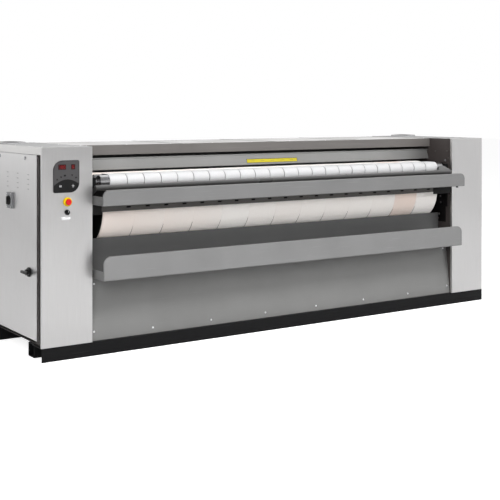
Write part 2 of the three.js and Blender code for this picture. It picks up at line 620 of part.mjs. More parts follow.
function controlPanel() {
  const group = new THREE.Group();
  const { inset, depth } = PANEL_BOX;
  const face = -PANEL.proud - FIT;
  const box = block([inset, PANEL.width - inset], [-FIT - 1, depth], [inset, PANEL.height - inset]);
  const pockets = Object.values(DISPLAYS).map((size) => onPanel(size, [face - 1, face + DISPLAY_DEPTH], FIT));
  const keyFloor = face + KEY.depth + KEY.travel + KEY.gap;
  const wells = Object.values(KEYS).map((key) =>
    rod("y", KEY.radius + KEY.gap, [face - 1, keyFloor], panelPoint(key), SMALL_SIDES),
  );
  const bezel = upright(panelOutline(), [face, -FIT], 5);
  group.add(part("control_panel", cut(join(bezel, box), ...pockets, ...wells), "greyPlastic"));
  for (const [name, size] of Object.entries(DISPLAYS)) {
    group.add(part(name, onPanel(size, [face, face + DISPLAY_DEPTH - FIT]), "display"));
  }
  for (const [name, key] of Object.entries(KEYS)) {
    const cap = rod("y", KEY.radius, [face - KEY.proud, face + KEY.depth], [0, 0], SMALL_SIDES);
    const [x, z] = panelPoint(key);
    group.add(place(part(name, cap, "blackPlastic"), x, 0, z));
  }
  return place(group, -HALF_LENGTH + PANEL.in, 0, MACHINE_HEIGHT - PANEL.down - PANEL.height);
}

function emergencyStop() {
  const group = new THREE.Group();
  const { collar, collarDepth, head, headDepth, stem, travel } = STOP;
  const { radius, length, bore: depth } = STOP_BARREL;
  const under = -collarDepth - travel - RUNNING_GAP;
  const bore = rod("y", stem + RUNNING_GAP, [-collarDepth - 1, depth], [0, 0], SMALL_SIDES);
  const ring = cut(join(rod("y", collar, [-collarDepth, -FIT]), rod("y", radius, [-FIT - 1, length])), bore);
  const dome = new THREE.LatheGeometry(
    [[0, 0], [head, 0], [head, headDepth * 0.6], [head * 0.8, headDepth * 0.9], [0, headDepth]].map(
      ([r, y]) => new THREE.Vector2(r, y),
    ),
    SIDES,
  );
  const button = join(
    dome.rotateX(Math.PI).translate(0, under, 0),
    rod("y", stem, [under - 1, depth - travel - RUNNING_GAP], [0, 0], SMALL_SIDES),
  );
  group.add(part("emergency_stop_collar", ring, "yellowPlastic"));
  group.add(part("emergency_stop_button", button, "redPlastic"));
  return place(group, -HALF_LENGTH + STOP_AT.in, 0, MACHINE_HEIGHT - STOP_AT.down);
}

function selector() {
  const { radius, depth, shaft, length, ridge } = SELECTOR;
  const [wide, proud, inset] = ridge;
  const knob = join(
    rod("y", radius, [-depth, -FIT]),
    block([-wide / 2, wide / 2], [-depth - proud, -depth + 1], [-radius + inset, radius - inset]),
    rod("y", shaft, [-FIT - 1, length], [0, 0], SMALL_SIDES),
  );
  const mesh = part("selector_knob", knob, "blackPlastic");
  return place(mesh, -HALF_LENGTH + SELECTOR_AT.in, 0, MACHINE_HEIGHT - SELECTOR_AT.down);
}

// Cut-outs for all of these, in the left cabinet's own x, which runs outwards.
function frontOpenings() {
  const at = (spot) => [CABINET_WIDTH - spot.in, MACHINE_HEIGHT - spot.down];
  const through = [-1, SHEET + 1];
  const inset = PANEL_BOX.inset - FIT;
  const [edge, top] = at(PANEL);
  return [
    block([edge - PANEL.width + inset, edge - inset], through, [top - PANEL.height + inset, top - inset]),
    rod("y", STOP_BARREL.radius + FIT, through, at(STOP_AT)),
    rod("y", SELECTOR.shaft + RUNNING_GAP, through, at(SELECTOR_AT), SMALL_SIDES),
  ];
}

// ---------- Roll ----------

function toothedWheel({ pitch }, teeth, [from, to]) {
  const radius = pitch / (2 * Math.sin(Math.PI / teeth));
  const rim = repeat(2 * teeth, (i) => {
    const r = radius + (i % 2 ? -TOOTH : TOOTH) * pitch;
    const angle = (Math.PI * (i + 0.5)) / teeth;
    return [r * Math.cos(angle), r * Math.sin(angle)];
  });
  return alongX(shapeOf(rim), [from, to]);
}

const tipRadius = ({ pitch }, teeth) => pitch / (2 * Math.sin(Math.PI / teeth)) + TOOTH * pitch;

function roll() {
  const group = new THREE.Group();
  const shellRadius = ROLL_RADIUS - CLOTHING - FIT;
  const leftEnd = -HALF_OPENING - FRAME_PLATE - BEARING[1] - 4;
  const rightEnd = HALF_OPENING + MAIN_CHAIN.plane + MAIN_CHAIN.width + 10;
  const shell = turned(
    [
      [JOURNAL_BORE, leftEnd],
      [JOURNAL_RADIUS, leftEnd],
      [JOURNAL_RADIUS, -ROLL_HALF],
      [shellRadius, -ROLL_HALF],
      [shellRadius, ROLL_HALF],
      [JOURNAL_RADIUS, ROLL_HALF],
      [JOURNAL_RADIUS, rightEnd],
      [JOURNAL_BORE, rightEnd],
      [JOURNAL_BORE, ROLL_HALF - END_DISC],
      [shellRadius - SHELL_WALL, ROLL_HALF - END_DISC],
      [shellRadius - SHELL_WALL, -ROLL_HALF + END_DISC],
      [JOURNAL_BORE, -ROLL_HALF + END_DISC],
      [JOURNAL_BORE, leftEnd],
    ],
    ROLL_SIDES,
  );
  const [grooveWidth, grooveDepth] = GROOVE;
  const joints = repeat(STRIPS - 1, (i) => -ROLL_HALF + STRIP_PITCH * (i + 1)).flatMap((x) => [
    [ROLL_RADIUS, x - grooveWidth / 2],
    [ROLL_RADIUS - grooveDepth, x],
    [ROLL_RADIUS, x + grooveWidth / 2],
  ]);
  const inner = ROLL_RADIUS - CLOTHING;
  const clothing = turned(
    [
      [inner, -ROLL_HALF],
      [ROLL_RADIUS, -ROLL_HALF],
      ...joints,
      [ROLL_RADIUS, ROLL_HALF],
      [inner, ROLL_HALF],
      [inner, -ROLL_HALF],
    ],
    ROLL_SIDES,
  );
  const wheel = (chain) => {
    const from = HALF_OPENING + chain.plane;
    return toothedWheel(chain, chain.rollTeeth, [from, from + chain.width]);
  };
  const hub = [HALF_OPENING + FEED_CHAIN.plane - 6, HALF_OPENING + MAIN_CHAIN.plane + MAIN_CHAIN.width + 6];
  const sprockets = cut(
    join(wheel(MAIN_CHAIN), wheel(FEED_CHAIN), rod("x", JOURNAL_RADIUS + 15, hub)),
    rod("x", JOURNAL_RADIUS + RUNNING_GAP, [hub[0] - 1, hub[1] + 1], [0, 0], SIDES),
  );
  group.add(
    part("roll_shell", shell, "steel"),
    part("roll_clothing", clothing, "clothing"),
    part("roll_sprockets", sprockets, "steel"),
  );
  return place(group, 0, ...ROLL_AXIS);
}

function chainLoop(name, chain, otherAxis) {
  const rollRadius = tipRadius(chain, chain.rollTeeth) + CHAIN_GAP;
  const driveRadius = tipRadius(chain, chain.driveTeeth) + CHAIN_GAP;
  const line = (grow) => beltLine(ROLL_AXIS, rollRadius + grow, otherAxis, driveRadius + grow, 20);
  const from = HALF_OPENING + chain.plane;
  return part(name, alongX(shapeOf(line(CHAIN_THICKNESS), [line(0)]), [from, from + chain.width]), "steel");
}

function drive() {
  const motorAxis = [ROLL_SETBACK, BASE_HEIGHT + MOTOR.above];
  const inside = HALF_OPENING + FRAME_PLATE + FIT;
  const face = HALF_OPENING + FEED_CHAIN.plane + FEED_CHAIN.width;
  const [deep, tall] = MOTOR.box;
  const gearbox = block([inside, face], [-deep / 2, deep / 2], [-tall / 2, tall / 2]);
  const middle = (inside + face) / 2;
  const motor = rod("y", MOTOR.radius, [deep / 2 - 1, deep / 2 + MOTOR.length], [0, 0]);
  motor.translate(inside + MOTOR.radius, 0, 0);
  const bore = rod("x", MOTOR.shaft + RUNNING_GAP, [middle, face + 1], [0, 0], SMALL_SIDES);
  const from = HALF_OPENING + MAIN_CHAIN.plane;
  const pinion = join(
    toothedWheel(MAIN_CHAIN, MAIN_CHAIN.driveTeeth, [from, from + MAIN_CHAIN.width]),
    rod("x", MOTOR.shaft, [middle + 2, from + MAIN_CHAIN.width + 8], [0, 0], SMALL_SIDES),
  );
  const group = new THREE.Group();
  group.add(part("gearmotor", cut(join(gearbox, motor), bore), "castIron"));
  group.add(part("motor_sprocket", pinion, "steel"));
  return [
    place(group, 0, ...motorAxis),
    chainLoop("drive_chain", MAIN_CHAIN, motorAxis),
    chainLoop("feed_chain", FEED_CHAIN, FEED_AXIS),
  ];
}

// ---------- Feed ----------

function feedRollers() {
  const half = HALF_OPENING - FEED_ROLLER_END_GAP;
  const shaftEnd = HALF_OPENING - 8;
  const wheel = HALF_OPENING + FEED_CHAIN.plane;
  const front = join(
    rod("x", FEED_ROLLER_RADIUS, [-half, half]),
    rod("x", FEED_SHAFT, [-shaftEnd, wheel + FEED_CHAIN.width + 4], [0, 0], SMALL_SIDES),
    toothedWheel(FEED_CHAIN, FEED_CHAIN.driveTeeth, [wheel, wheel + FEED_CHAIN.width]),
  );
  const nose = join(
    rod("x", NOSE_RADIUS, [-half, half], [0, 0], SIDES),
    rod("x", NOSE_SHAFT, [-shaftEnd, shaftEnd], [0, 0], SMALL_SIDES),
  );
  return [
    place(part("front_feed_roller", front, "steel"), 0, ...FEED_AXIS),
    place(part("nose_feed_roller", nose, "steel"), 0, ...NOSE_AXIS),
  ];
}

// White bands round both feed rollers, side by side on one thin inner ply.
function feedBands() {
  const pitch = BAND_WIDTH + BAND_GAP;
  const count = Math.floor((OPENING - 2 * BAND_MARGIN + BAND_GAP) / pitch);
  const half = (count * pitch - BAND_GAP) / 2;
  const line = (grow) =>
    beltLine(FEED_AXIS, FEED_ROLLER_RADIUS + grow, NOSE_AXIS, NOSE_RADIUS + grow, 8);
  const loop = (inside, outside, span) =>
    alongX(shapeOf(line(BAND_PLAY + outside), [line(BAND_PLAY + inside)]), span);
  const bands = repeat(count, (i) => {
    const from = -half + pitch * i;
    return loop(BAND_WEB / 2, BAND_THICKNESS, [from, from + BAND_WIDTH]);
  });
  return part("feed_bands", join(loop(0, BAND_WEB, [-half, half]), ...bands), "band");
}

// Rounded bar in front of the feed roller. Lifting it stops the machine.
function guardBar() {
  const { setback, rise, radius, sheet, mouth, arm, endGap } = GUARD_BAR;
  const { boss, pin } = GUARD_PIVOT;
  const centre = [setback, UPPER_TRAY_TOP + rise];
  const half = HALF_OPENING - endGap;
  const [from, to] = [radians(mouth), radians(360 - mouth)];
  const nose = [...arc(centre, radius, from, to, 7), ...arc(centre, radius - sheet, to, from, 7)];
  const armShape = shapeOf(beltLine(centre, radius, GUARD_AXIS, boss, 6));
  const ends = [-1, 1].flatMap((end) => {
    const sorted = (a, b) => [Math.min(end * a, end * b), Math.max(end * a, end * b)];
    return [
      alongX(armShape, sorted(half - arm, half)),
      rod("x", pin, sorted(half - 1, HALF_OPENING + FRAME_PLATE - 2), GUARD_AXIS, SMALL_SIDES),
    ];
  });
  return part("finger_guard_bar", join(alongX(shapeOf(nose), [-half, half]), ...ends), "darkPaint");
}

// Grey guard above the bands, hung from a barrel along its top edge.
function guardFlap() {
  const half = HALF_OPENING - FLAP.endGap;
  const { height, lean, edge, hem } = FLAP;
  const lower = height - edge;
  const sheet = folded([[0, SHEET], [-lean, -lower], [-lean, -height], [hem - lean, -height]], SHEET);
  const flap = join(
    alongX(shapeOf(sheet), [-half, half]),
    rod("x", FLAP.barrel, [-half, half], [0, 0], SMALL_SIDES),
    rod("x", FLAP.pin, [-HALF_OPENING - 6, HALF_OPENING + 6], [0, 0], SMALL_SIDES),
  );
  return place(part("guard_flap", flap, "greyPaint"), 0, ...FLAP_AXIS);
}

// ---------- Chest, its heater, the stripper fingers and the plate in front ----------

// Angles here are measured from the roll's top, going over its back.
const overBack = (degrees) => radians(90 - degrees);

function chestSection(innerRadius, outerRadius, from, to) {
  return [
    ...arc([0, 0], innerRadius, overBack(from), overBack(to), CHEST_STEPS),
    ...arc([0, 0], outerRadius, overBack(to), overBack(from), CHEST_STEPS),
  ];
}

function chest() {
  const group = new THREE.Group();
  const inner = ROLL_RADIUS + CHEST_GAP;
  const outer = inner + CHEST_DEPTH;
  const half = HALF_OPENING - CHEST_END_GAP;
  const edge = (360 * CHEST_WALL) / (2 * Math.PI * outer);
  const cavity = chestSection(inner + CHEST_WALL, outer - CHEST_WALL, CHEST_FROM + edge, CHEST_TO - edge);
  const trough = alongX(shapeOf(chestSection(inner, outer, CHEST_FROM, CHEST_TO), [cavity]), [-half, half]);
  const lugs = [-1, 1].flatMap((end) => {
    const { length, reach, back, under } = CHEST_LUG;
    const x = end < 0 ? [SPAN[0], -half + length] : [half - length, SPAN[1]];
    return [
      block(x, [outer - CHEST_WALL, outer + reach], [-back, back]),
      block(x, [-under, under], [-outer - reach, -outer + CHEST_WALL - SHEET]),
    ];
  });
  // Heater rods lie in the cavity and meet in an arched header past its left end.
  const middle = (inner + outer) / 2;
  const headerX = [-half - FIT - HEATER.header, -half - FIT];
  const start = CHEST_FROM + 2 * edge;
  const step = (CHEST_TO - CHEST_FROM - 4 * edge) / (HEATER.count - 1);
  const rods = repeat(HEATER.count, (i) => {
    const angle = overBack(start + step * i);
    const across = [middle * Math.cos(angle), middle * Math.sin(angle)];
    return rod("x", HEATER.radius, [headerX[0] + 1, half - HEATER.short], across, HEATER.sides);
  });
  const band = HEATER.radius + HEATER.wall;
  const arch = chestSection(middle - band, middle + band, CHEST_FROM + edge, CHEST_TO - edge);
  const header = alongX(shapeOf(arch), headerX);
  group.add(part("chest_heater", cut(join(header, ...rods), ...lugs), "steel"));
  group.add(part("ironing_chest", join(trough, ...lugs), "steel"));
  return place(group, 0, ...ROLL_AXIS);
}

// Thin fingers lie along the roll in the joints between its strips and lift the linen off.
function stripperComb() {
  const lying = ROLL_RADIUS + FINGER.gap;
  const angle = (degrees) => radians(-90 - degrees);
  const finger = shapeOf([
    ...arc([0, 0], lying, angle(FINGER.from), angle(FINGER.to), 3),
    ...arc([0, 0], lying + FINGER.thickness, angle(FINGER.to), angle(FINGER.from), 3),
  ]);
  const footY = lying * Math.cos(angle(FINGER.from)) - FINGER.thickness + 1;
  const footZ = lying * Math.sin(angle(FINGER.from)) - 1;
  const barTop = footZ - FINGER.leg;
  const fingers = repeat(STRIPS - 1, (i) => {
    const x = -ROLL_HALF + STRIP_PITCH * (i + 1);
    const span = [x - FINGER.width / 2, x + FINGER.width / 2];
    return join(alongX(finger, span), block(span, [footY - FINGER.foot, footY], [barTop - 1, footZ]));
  });
  const front = footY - FINGER_BAR.overlap;
  const bar = block(SPAN, [front, front + FINGER_BAR.side], [barTop - FINGER_BAR.side, barTop]);
  return place(part("stripper_comb", join(bar, ...fingers), "darkPaint"), 0, ...ROLL_AXIS);
}

function chestFrontCover() {
  const foot = FRONT_TIE_BOTTOM + TIE_BEAM[1] / 2;
  const bottom = LOWER_TRAY_BOTTOM + TRAY_SHEET + FIT;
  const [back, up] = COVER_HEM;
  const sheet = folded(
    [[COVER_SETBACK, bottom], [COVER_SETBACK, COVER_TOP], [COVER_SETBACK + back, COVER_TOP + up]].reverse(),
    SHEET,
  );
  const half = HALF_OPENING - COVER_END_GAP;
  const depth = [COVER_SETBACK + 1, FRONT_TIE.setback - FIT];
  const cleat = block([-half, half], depth, [foot - COVER_CLEAT, foot + COVER_CLEAT]);
  return part("chest_front_cover", join(alongX(shapeOf(sheet), [-half, half]), cleat), "darkPaint");
}

// ---------- Trays, rail, panels ----------

function lipShape(half, height, corner) {
  const shape = new THREE.Shape();
  shape.moveTo(-half, 0);
  shape.lineTo(half, 0);
  shape.absarc(half - corner, height - corner, corner, 0, Math.PI / 2);
  shape.absarc(-half + corner, height - corner, corner, Math.PI / 2, Math.PI);
  return shape;
}

function tray(name, { reach, tall, corner, endGap, flange, back }, bottom) {
  const half = HALF_OPENING - endGap;
  const floor = [bottom, bottom + TRAY_SHEET];
  const lip = upright(lipShape(half, tall, corner), [-reach, -reach + TRAY_SHEET]);
  lip.translate(0, 0, bottom);
  const ends = [-1, 1].flatMap((end) => {
    const side = end < 0 ? [-half, -half + TRAY_SHEET] : [half - TRAY_SHEET, half];
    const rest = end < 0 ? [SPAN[0], -half + 1] : [half - 1, SPAN[1]];
    const behind = FRAME_FRONT + FIT;
    return [
      block(side, [-reach, behind + TRAY_REST], [bottom, bottom + flange]),
      block(rest, [behind, behind + TRAY_REST], [bottom, bottom + TRAY_REST]),
    ];
  });
  return part(name, join(lip, block([-half, half], [-reach, back], floor), ...ends), "greyPaint");
}

// Rail with a row of slots, under the upper tray.
function perforatedRail() {
  const top = UPPER_TRAY_BOTTOM - FIT;
  const bottom = top - SLOTTED_RAIL.tall;
  const face = UPPER_TRAY.back - FOLD;
  const behind = face + SLOTTED_RAIL.depth;
  const section = folded([[behind, top], [face, top], [face, bottom], [behind, bottom]], SHEET);
  const count = Math.floor((OPENING - 2 * SLOT.margin) / SLOT.pitch) + 1;
  const slots = repeat(count, (i) => {
    const x = SLOT.pitch * (i - (count - 1) / 2);
    const z = bottom + SLOT.up;
    return block(
      [x - SLOT.width / 2, x + SLOT.width / 2],
      [face - 1, face + SHEET + 1],
      [z - SLOT.height / 2, z + SLOT.height / 2],
    );
  });
  return part("perforated_rail", cut(alongX(shapeOf(section), SPAN), ...slots), "darkPaint");
}

function lowerFrontPanel() {
  const [foot, head] = LOWER_PANEL;
  const top = LOWER_TRAY_BOTTOM - FIT;
  const section = folded(
    [[foot + FOLD, FRAME_BOTTOM], [foot, FRAME_BOTTOM], [head, top], [head + 2 * FOLD, top]].reverse(),
    SHEET,
  );
  return part("lower_front_panel", alongX(shapeOf(section), SPAN), "greyPaint");
}

function centreTopCover() {
  const top = MACHINE_HEIGHT - COVER_DROP;
  const section = folded(
    [
      [COVER_FACE_SETBACK + FOLD, top - COVER_FACE],
      [COVER_FACE_SETBACK, top - COVER_FACE],
      [COVER_FACE_SETBACK, top],
      [FRAME_BACK, top],
    ].reverse(),
    SHEET,
  );
  return part("centre_top_cover", alongX(shapeOf(section), SPAN), "greyPaint");
}

function centreBackPanel() {
  const sheet = block(SPAN, [FRAME_BACK + FIT, CABINET_DEPTH], [FRAME_BOTTOM, MACHINE_HEIGHT - COVER_DROP]);
  return part("centre_back_panel", sheet, "greyPaint");
}

// ---------- Services ----------

function electricalBox() {
  const [wide, deep, tall] = ELECTRICAL_BOX.size;
  const { wall } = ELECTRICAL_BOX;
  const inside = -HALF_OPENING - FRAME_PLATE - FIT;
  const tub = cut(
    block([inside - wide, inside], [0, deep], [0, tall]),
    block([inside - wide - 1, inside - wall], [wall, deep - wall], [wall, tall - wall]),
  );
  const { count, depth, half } = SWITCHGEAR_RAIL;
  const rails = repeat(count, (i) => {
    const z = (tall * (i + 1)) / (count + 1);
    return block([inside - wall - depth, inside - 1], [1, deep - 1], [z - half, z + half]);
  });
  const mesh = part("electrical_box", join(tub, ...rails), "greyPaint");
  return place(mesh, 0, ELECTRICAL_BOX.setback, BASE_HEIGHT + ELECTRICAL_BOX.above);
}

// Exhaust fan in the left cabinet, blowing up through the collar in its top.
function blower() {
  const { radius, width, out, down, wall, duct, inlet, shaft } = BLOWER;
  const height = MACHINE_HEIGHT - down;
  const near = -HALF_OPENING - out;
  const far = near - width;
  const rise = FRAME_TOP - height - FIT;
  const scroll = rod("x", radius, [far, near], [0, 0], SIDES);
  const casing = join(scroll, block([far, near], [-duct, duct], [0, rise]));
  const hollow = join(
    rod("x", radius - wall, [far + wall, near - wall], [0, 0], SIDES),
    block([far + wall, near - wall], [-duct + wall, duct - wall], [0, rise + 1]),
  );
  const foot = BLOWER_FOOT;
  const housing = cut(
    join(
      cut(casing, hollow),
      rod("x", BLOWER_MOTOR.radius, [far - BLOWER_MOTOR.length, far + 1]),
      block([near - 1, near + foot.reach], [foot.from, foot.to], [-foot.half, foot.half]),
    ),
    rod("x", inlet, [near - wall - 1, near + foot.reach + 1]),
    rod("x", shaft + RUNNING_GAP, [far - BLOWER_MOTOR.bore, far + wall + 1], [0, 0], SMALL_SIDES),
  );
  const wheel = IMPELLER;
  const hub = far + wheel.gap - wall;
  const disc = [hub + 2 * wall, hub + 2 * wall + wheel.disc];
  const { count, thickness, eye } = VANES;
  const vanes = repeat(count, (i) => {
    const long = [disc[1] - 1, near - wall - wheel.clear];
    const blade = block(long, [eye, wheel.radius - 1], [-thickness / 2, thickness / 2]);
    return blade.rotateX((2 * Math.PI * i) / count);
  });
  const impeller = join(
    rod("x", wheel.radius, disc),
    rod("x", wheel.hub, [hub, hub + wheel.hubLength], [0, 0], SMALL_SIDES),
    rod("x", shaft, [far - BLOWER_MOTOR.bore + wall, hub + wall], [0, 0], SMALL_SIDES),
    ...vanes,
  );
  const group = new THREE.Group();
  group.add(part("blower_housing", housing, "greyPaint"), part("blower_impeller", impeller, "steel"));
  return place(group, 0, COLLAR_SETBACK, height);
}

// ---------- Whole machine ----------

const leftCabinet = place(cabinet("left", frontOpenings(), [switchOpening()]), -HALF_OPENING, 0, 0);
leftCabinet.scale.x = -1; // the left cabinet is the right one's mirror image
leftCabinet.add(mainSwitch());
const rightCabinet = place(cabinet("right", [], []), HALF_OPENING, 0, 0);

const machine = place(new THREE.Group(), 0, FRONT, 0); // y is counted back from the cabinets' fronts
machine.add(
  kickPlate(),
  ...baseBeams(),
  ...tieBeams(),
  leftCabinet,
  rightCabinet,
  controlPanel(),
  emergencyStop(),
  selector(),
  roll(),
  ...drive(),
  ...feedRollers(),
  feedBands(),
  guardBar(),
  guardFlap(),
  chest(),
  stripperComb(),
  chestFrontCover(),
  tray("upper_tray", UPPER_TRAY, UPPER_TRAY_BOTTOM),
  tray("lower_tray", LOWER_TRAY, LOWER_TRAY_BOTTOM),
  perforatedRail(),
  lowerFrontPanel(),
  centreTopCover(),
  centreBackPanel(),
  electricalBox(),
  blower(),
);

const ironer = new THREE.Group();
ironer.name = "flatwork_ironer";
ironer.add(machine);
export default ironer;
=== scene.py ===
# %% [markdown]
# # Dressing a flatwork ironer
#
# A flatwork ironer is a long machine that presses bed linen. A clothed roll turns in a heated chest between
# two stainless end cabinets, and white bands carry the linen in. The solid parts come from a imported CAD
# model, which is the fixed frame here. This lesson gives each of them its real surface, and adds what CAD
# leaves out: woven cloth, bands, rolled tray edges, screws, displays and labels.
#
# Everything is in metres in the CAD frame: X to the operator's right, Y to the back, Z up. Small sizes read
# better in millimetres, so `mm` turns a point given in them into metres.

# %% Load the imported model
import json
import math

import bmesh
import bpy
import numpy as np
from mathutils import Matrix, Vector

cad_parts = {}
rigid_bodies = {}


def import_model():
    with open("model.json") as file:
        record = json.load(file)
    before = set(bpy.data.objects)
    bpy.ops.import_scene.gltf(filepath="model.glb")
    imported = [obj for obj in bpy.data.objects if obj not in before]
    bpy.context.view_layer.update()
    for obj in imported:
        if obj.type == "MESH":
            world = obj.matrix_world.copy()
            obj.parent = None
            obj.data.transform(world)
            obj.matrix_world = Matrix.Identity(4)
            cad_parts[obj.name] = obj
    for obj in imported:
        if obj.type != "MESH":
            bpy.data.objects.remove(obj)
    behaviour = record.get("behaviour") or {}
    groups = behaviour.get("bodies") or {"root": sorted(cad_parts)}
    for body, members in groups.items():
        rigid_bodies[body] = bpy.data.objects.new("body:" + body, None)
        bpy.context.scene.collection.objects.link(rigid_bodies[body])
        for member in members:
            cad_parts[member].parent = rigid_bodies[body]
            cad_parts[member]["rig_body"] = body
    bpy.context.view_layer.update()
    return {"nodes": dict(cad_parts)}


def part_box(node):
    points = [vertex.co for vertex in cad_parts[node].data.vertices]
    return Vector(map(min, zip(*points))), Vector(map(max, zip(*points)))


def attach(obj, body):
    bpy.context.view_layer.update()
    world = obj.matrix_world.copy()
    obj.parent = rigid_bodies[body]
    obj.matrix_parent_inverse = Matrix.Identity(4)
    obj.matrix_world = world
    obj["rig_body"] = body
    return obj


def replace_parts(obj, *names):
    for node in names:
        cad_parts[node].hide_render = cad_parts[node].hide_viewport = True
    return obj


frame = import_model()
nodes = frame["nodes"]
MM = 0.001


def mm(*values):
    return np.array(values) * MM


# %% [markdown]
# ## Camera
#
# The picture has upright lines that stay parallel, so the camera is level and its picture is shifted down
# instead of tilted. Its place, lens and turn follow from the machine's vanishing points and known height.

# %% Level camera with a shifted picture
lens = bpy.data.cameras.new("camera")
lens.lens, lens.sensor_width, lens.shift_y = 74.885, 36.0, -0.2804
lens.clip_end = 200
camera = bpy.data.objects.new("camera", lens)
camera.location = (-4.687, -6.7855, 1.644)
camera.rotation_euler = (math.radians(90), 0, math.radians(-34.08))
bpy.context.scene.collection.objects.link(camera)
bpy.context.scene.camera = camera
bpy.context.scene.view_settings.view_transform = "Standard"
print("camera looks", round(math.degrees(camera.rotation_euler.z), 1), "degrees off the back")

# %% [markdown]
# ## Writing node trees
#
# A material is a graph of nodes. Clicking it together in the editor is quick to try and slow to repeat, so
# a small notebook class writes it down instead: `add` makes a node, sets the plain values and links the
# sockets. Colours are given as they look on a screen, from 0 to 255, and turned into light values first.

# %% Notebook for node trees
class Recipe:
    """The node tree of a world, a material or a group, written line by line. `add` returns the new node."""

    def __init__(self, tree):
        self.tree = tree

    def add(self, kind, inputs=None, **settings):
        made = self.tree.nodes.new(kind)
        for key, value in settings.items():
            setattr(made, key, value)
        for key, value in (inputs or {}).items():
            if isinstance(value, bpy.types.NodeSocket):
                self.tree.links.new(value, made.inputs[key])
            else:
                made.inputs[key].default_value = value
        return made

    def math(self, operation, a, b=0.0):
        return self.add("ShaderNodeMath", {0: a, 1: b}, operation=operation).outputs[0]

    def times(self, a, b):
        return self.math("MULTIPLY", a, b)

    def plus(self, a, b):
        return self.math("ADD", a, b)

    def mixed(self, share, a, b):
        return self.add("ShaderNodeMix", {0: share, 6: a, 7: b}, data_type="RGBA").outputs[2]

    def spread(self, value, low, high, to_low=0.0, to_high=1.0):
        """Straight-line change of range from low..high to to_low..to_high, held at both ends."""
        inputs = {0: value, 1: low, 2: high, 3: to_low, 4: to_high}
        return self.add("ShaderNodeMapRange", inputs).outputs[0]

    def noise(self, vector, scale, detail=2.0):
        inputs = {"Vector": vector, "Scale": scale, "Detail": detail}
        return self.add("ShaderNodeTexNoise", inputs).outputs[0]

    def stretched(self, vector, scale):
        return self.add("ShaderNodeMapping", {"Vector": vector, "Scale": scale}).outputs[0]

    def parts(self, vector):
        return self.add("ShaderNodeSeparateXYZ", {0: vector}).outputs

    def rays(self):
        return self.add("ShaderNodeLightPath").outputs

    def own_place(self):
        return self.add("ShaderNodeTexCoord").outputs["Object"]

    def group(self, tree, **inputs):
        return self.add("ShaderNodeGroup", inputs, node_tree=tree).outputs

    def raised(self, height, depth, strength):
        """Normal of a surface whose height changes by depth metres."""
        inputs = {"Strength": strength, "Distance": depth, "Height": height}
        return self.add("ShaderNodeBump", inputs).outputs[0]


def emptied(holder):
    """Recipe for a world's or a material's own node tree, with its first nodes taken out."""
    holder.use_nodes = True
    holder.node_tree.nodes.clear()
    return Recipe(holder.node_tree)


def light_value(red, green, blue):
    """Screen colour to light: (c/255 + 0.055) / 1.055 to the power 2.4, and c/255 / 12.92 when dark."""
    c = np.array([red, green, blue]) / 255
    linear = np.where(c > 0.04045, ((c + 0.055) / 1.055) ** 2.4, c / 12.92)
    return (*linear.tolist(), 1.0)


print("mid grey is", round(light_value(128, 128, 128)[0], 3), "of full light")

# %% [markdown]
# ## Light and floor
#
# Sheet metal shows what stands around it, and a studio does that work here. It has pale surroundings that
# get darker overhead and to the left, large soft lamps at the left and right front, a smaller one high up
# that draws the shadows of the trays, and one at the back. The surroundings already give the steel its
# bright stretches, so the lamps' own mirror images are left off. By the Light Path node, floor and
# surroundings look white to the camera without putting more light on the machine. The floor still shades
# where the machine stands, because its own diffuse light is added to a steady glow.

# %% Surroundings
SHOWN_WHITE = 1.0
WHITE_IN_STEEL = 1.4
PLAIN_LIGHT = 0.42
# Each change of level is written as from, to, and the level at both.
FRONT_SHARE = (0.33, -0.33)
UP_IN_FRONT = (-0.05, 0.42, 1.0, 0.42)
TO_THE_RIGHT = (0.3, 0.75, 0.2, 1.24)
UP_BEHIND = (0.64, 0.95, 1.22, 0.6)


def studio_surroundings():
    """Level in the direction (x, y, z). In front it falls from 1 at the horizon to 0.42 at 25 degrees up,
    times a share that rises from 0.2 at x = 0.3 to 1.24 at x = 0.75. Behind it is 1.22 up to 40 degrees,
    and falls to 0.6 above. The share of the front is 0.5 - 1.5 y, held to 0..1. Steel sees 1.4 times that
    level, matt surfaces 0.42 times, and the camera sees plain white."""
    world = bpy.data.worlds.new("studio")
    r = emptied(world)
    x, y, z = r.parts(r.add("ShaderNodeTexCoord").outputs["Generated"])
    in_front = r.spread(y, *FRONT_SHARE)
    ahead = r.times(r.spread(z, *UP_IN_FRONT), r.spread(x, *TO_THE_RIGHT))
    at_back = r.math("SUBTRACT", 1.0, in_front)
    seen = r.plus(r.times(in_front, ahead), r.times(at_back, r.spread(z, *UP_BEHIND)))
    ray = r.rays()
    level = r.times(r.spread(ray["Is Glossy Ray"], 0.0, 1.0, PLAIN_LIGHT, WHITE_IN_STEEL), seen)
    watched = r.math("MAXIMUM", ray["Is Camera Ray"], ray["Is Transmission Ray"])
    level = r.plus(level, r.times(watched, r.math("SUBTRACT", SHOWN_WHITE, level)))
    sky = r.add("ShaderNodeBackground", {"Color": (1, 1, 1, 1), "Strength": level})
    r.add("ShaderNodeOutputWorld", {"Surface": sky.outputs[0]})
    return world


bpy.context.scene.world = studio_surroundings()
print("surroundings shown at", SHOWN_WHITE)

# %% Floor that stays white and keeps the shadow
FLOOR_GLOW = 0.8
FLOOR_IN_STEEL = 0.18
FLOOR_HALF = 40
FLOOR_DROP = 0.4 * MM


def new_object(name, points, faces):
    mesh = bpy.data.meshes.new(name)
    mesh.from_pydata(np.asarray(points, float).tolist(), [], faces)
    made = bpy.data.objects.new(name, mesh)
    bpy.context.scene.collection.objects.link(made)
    return made


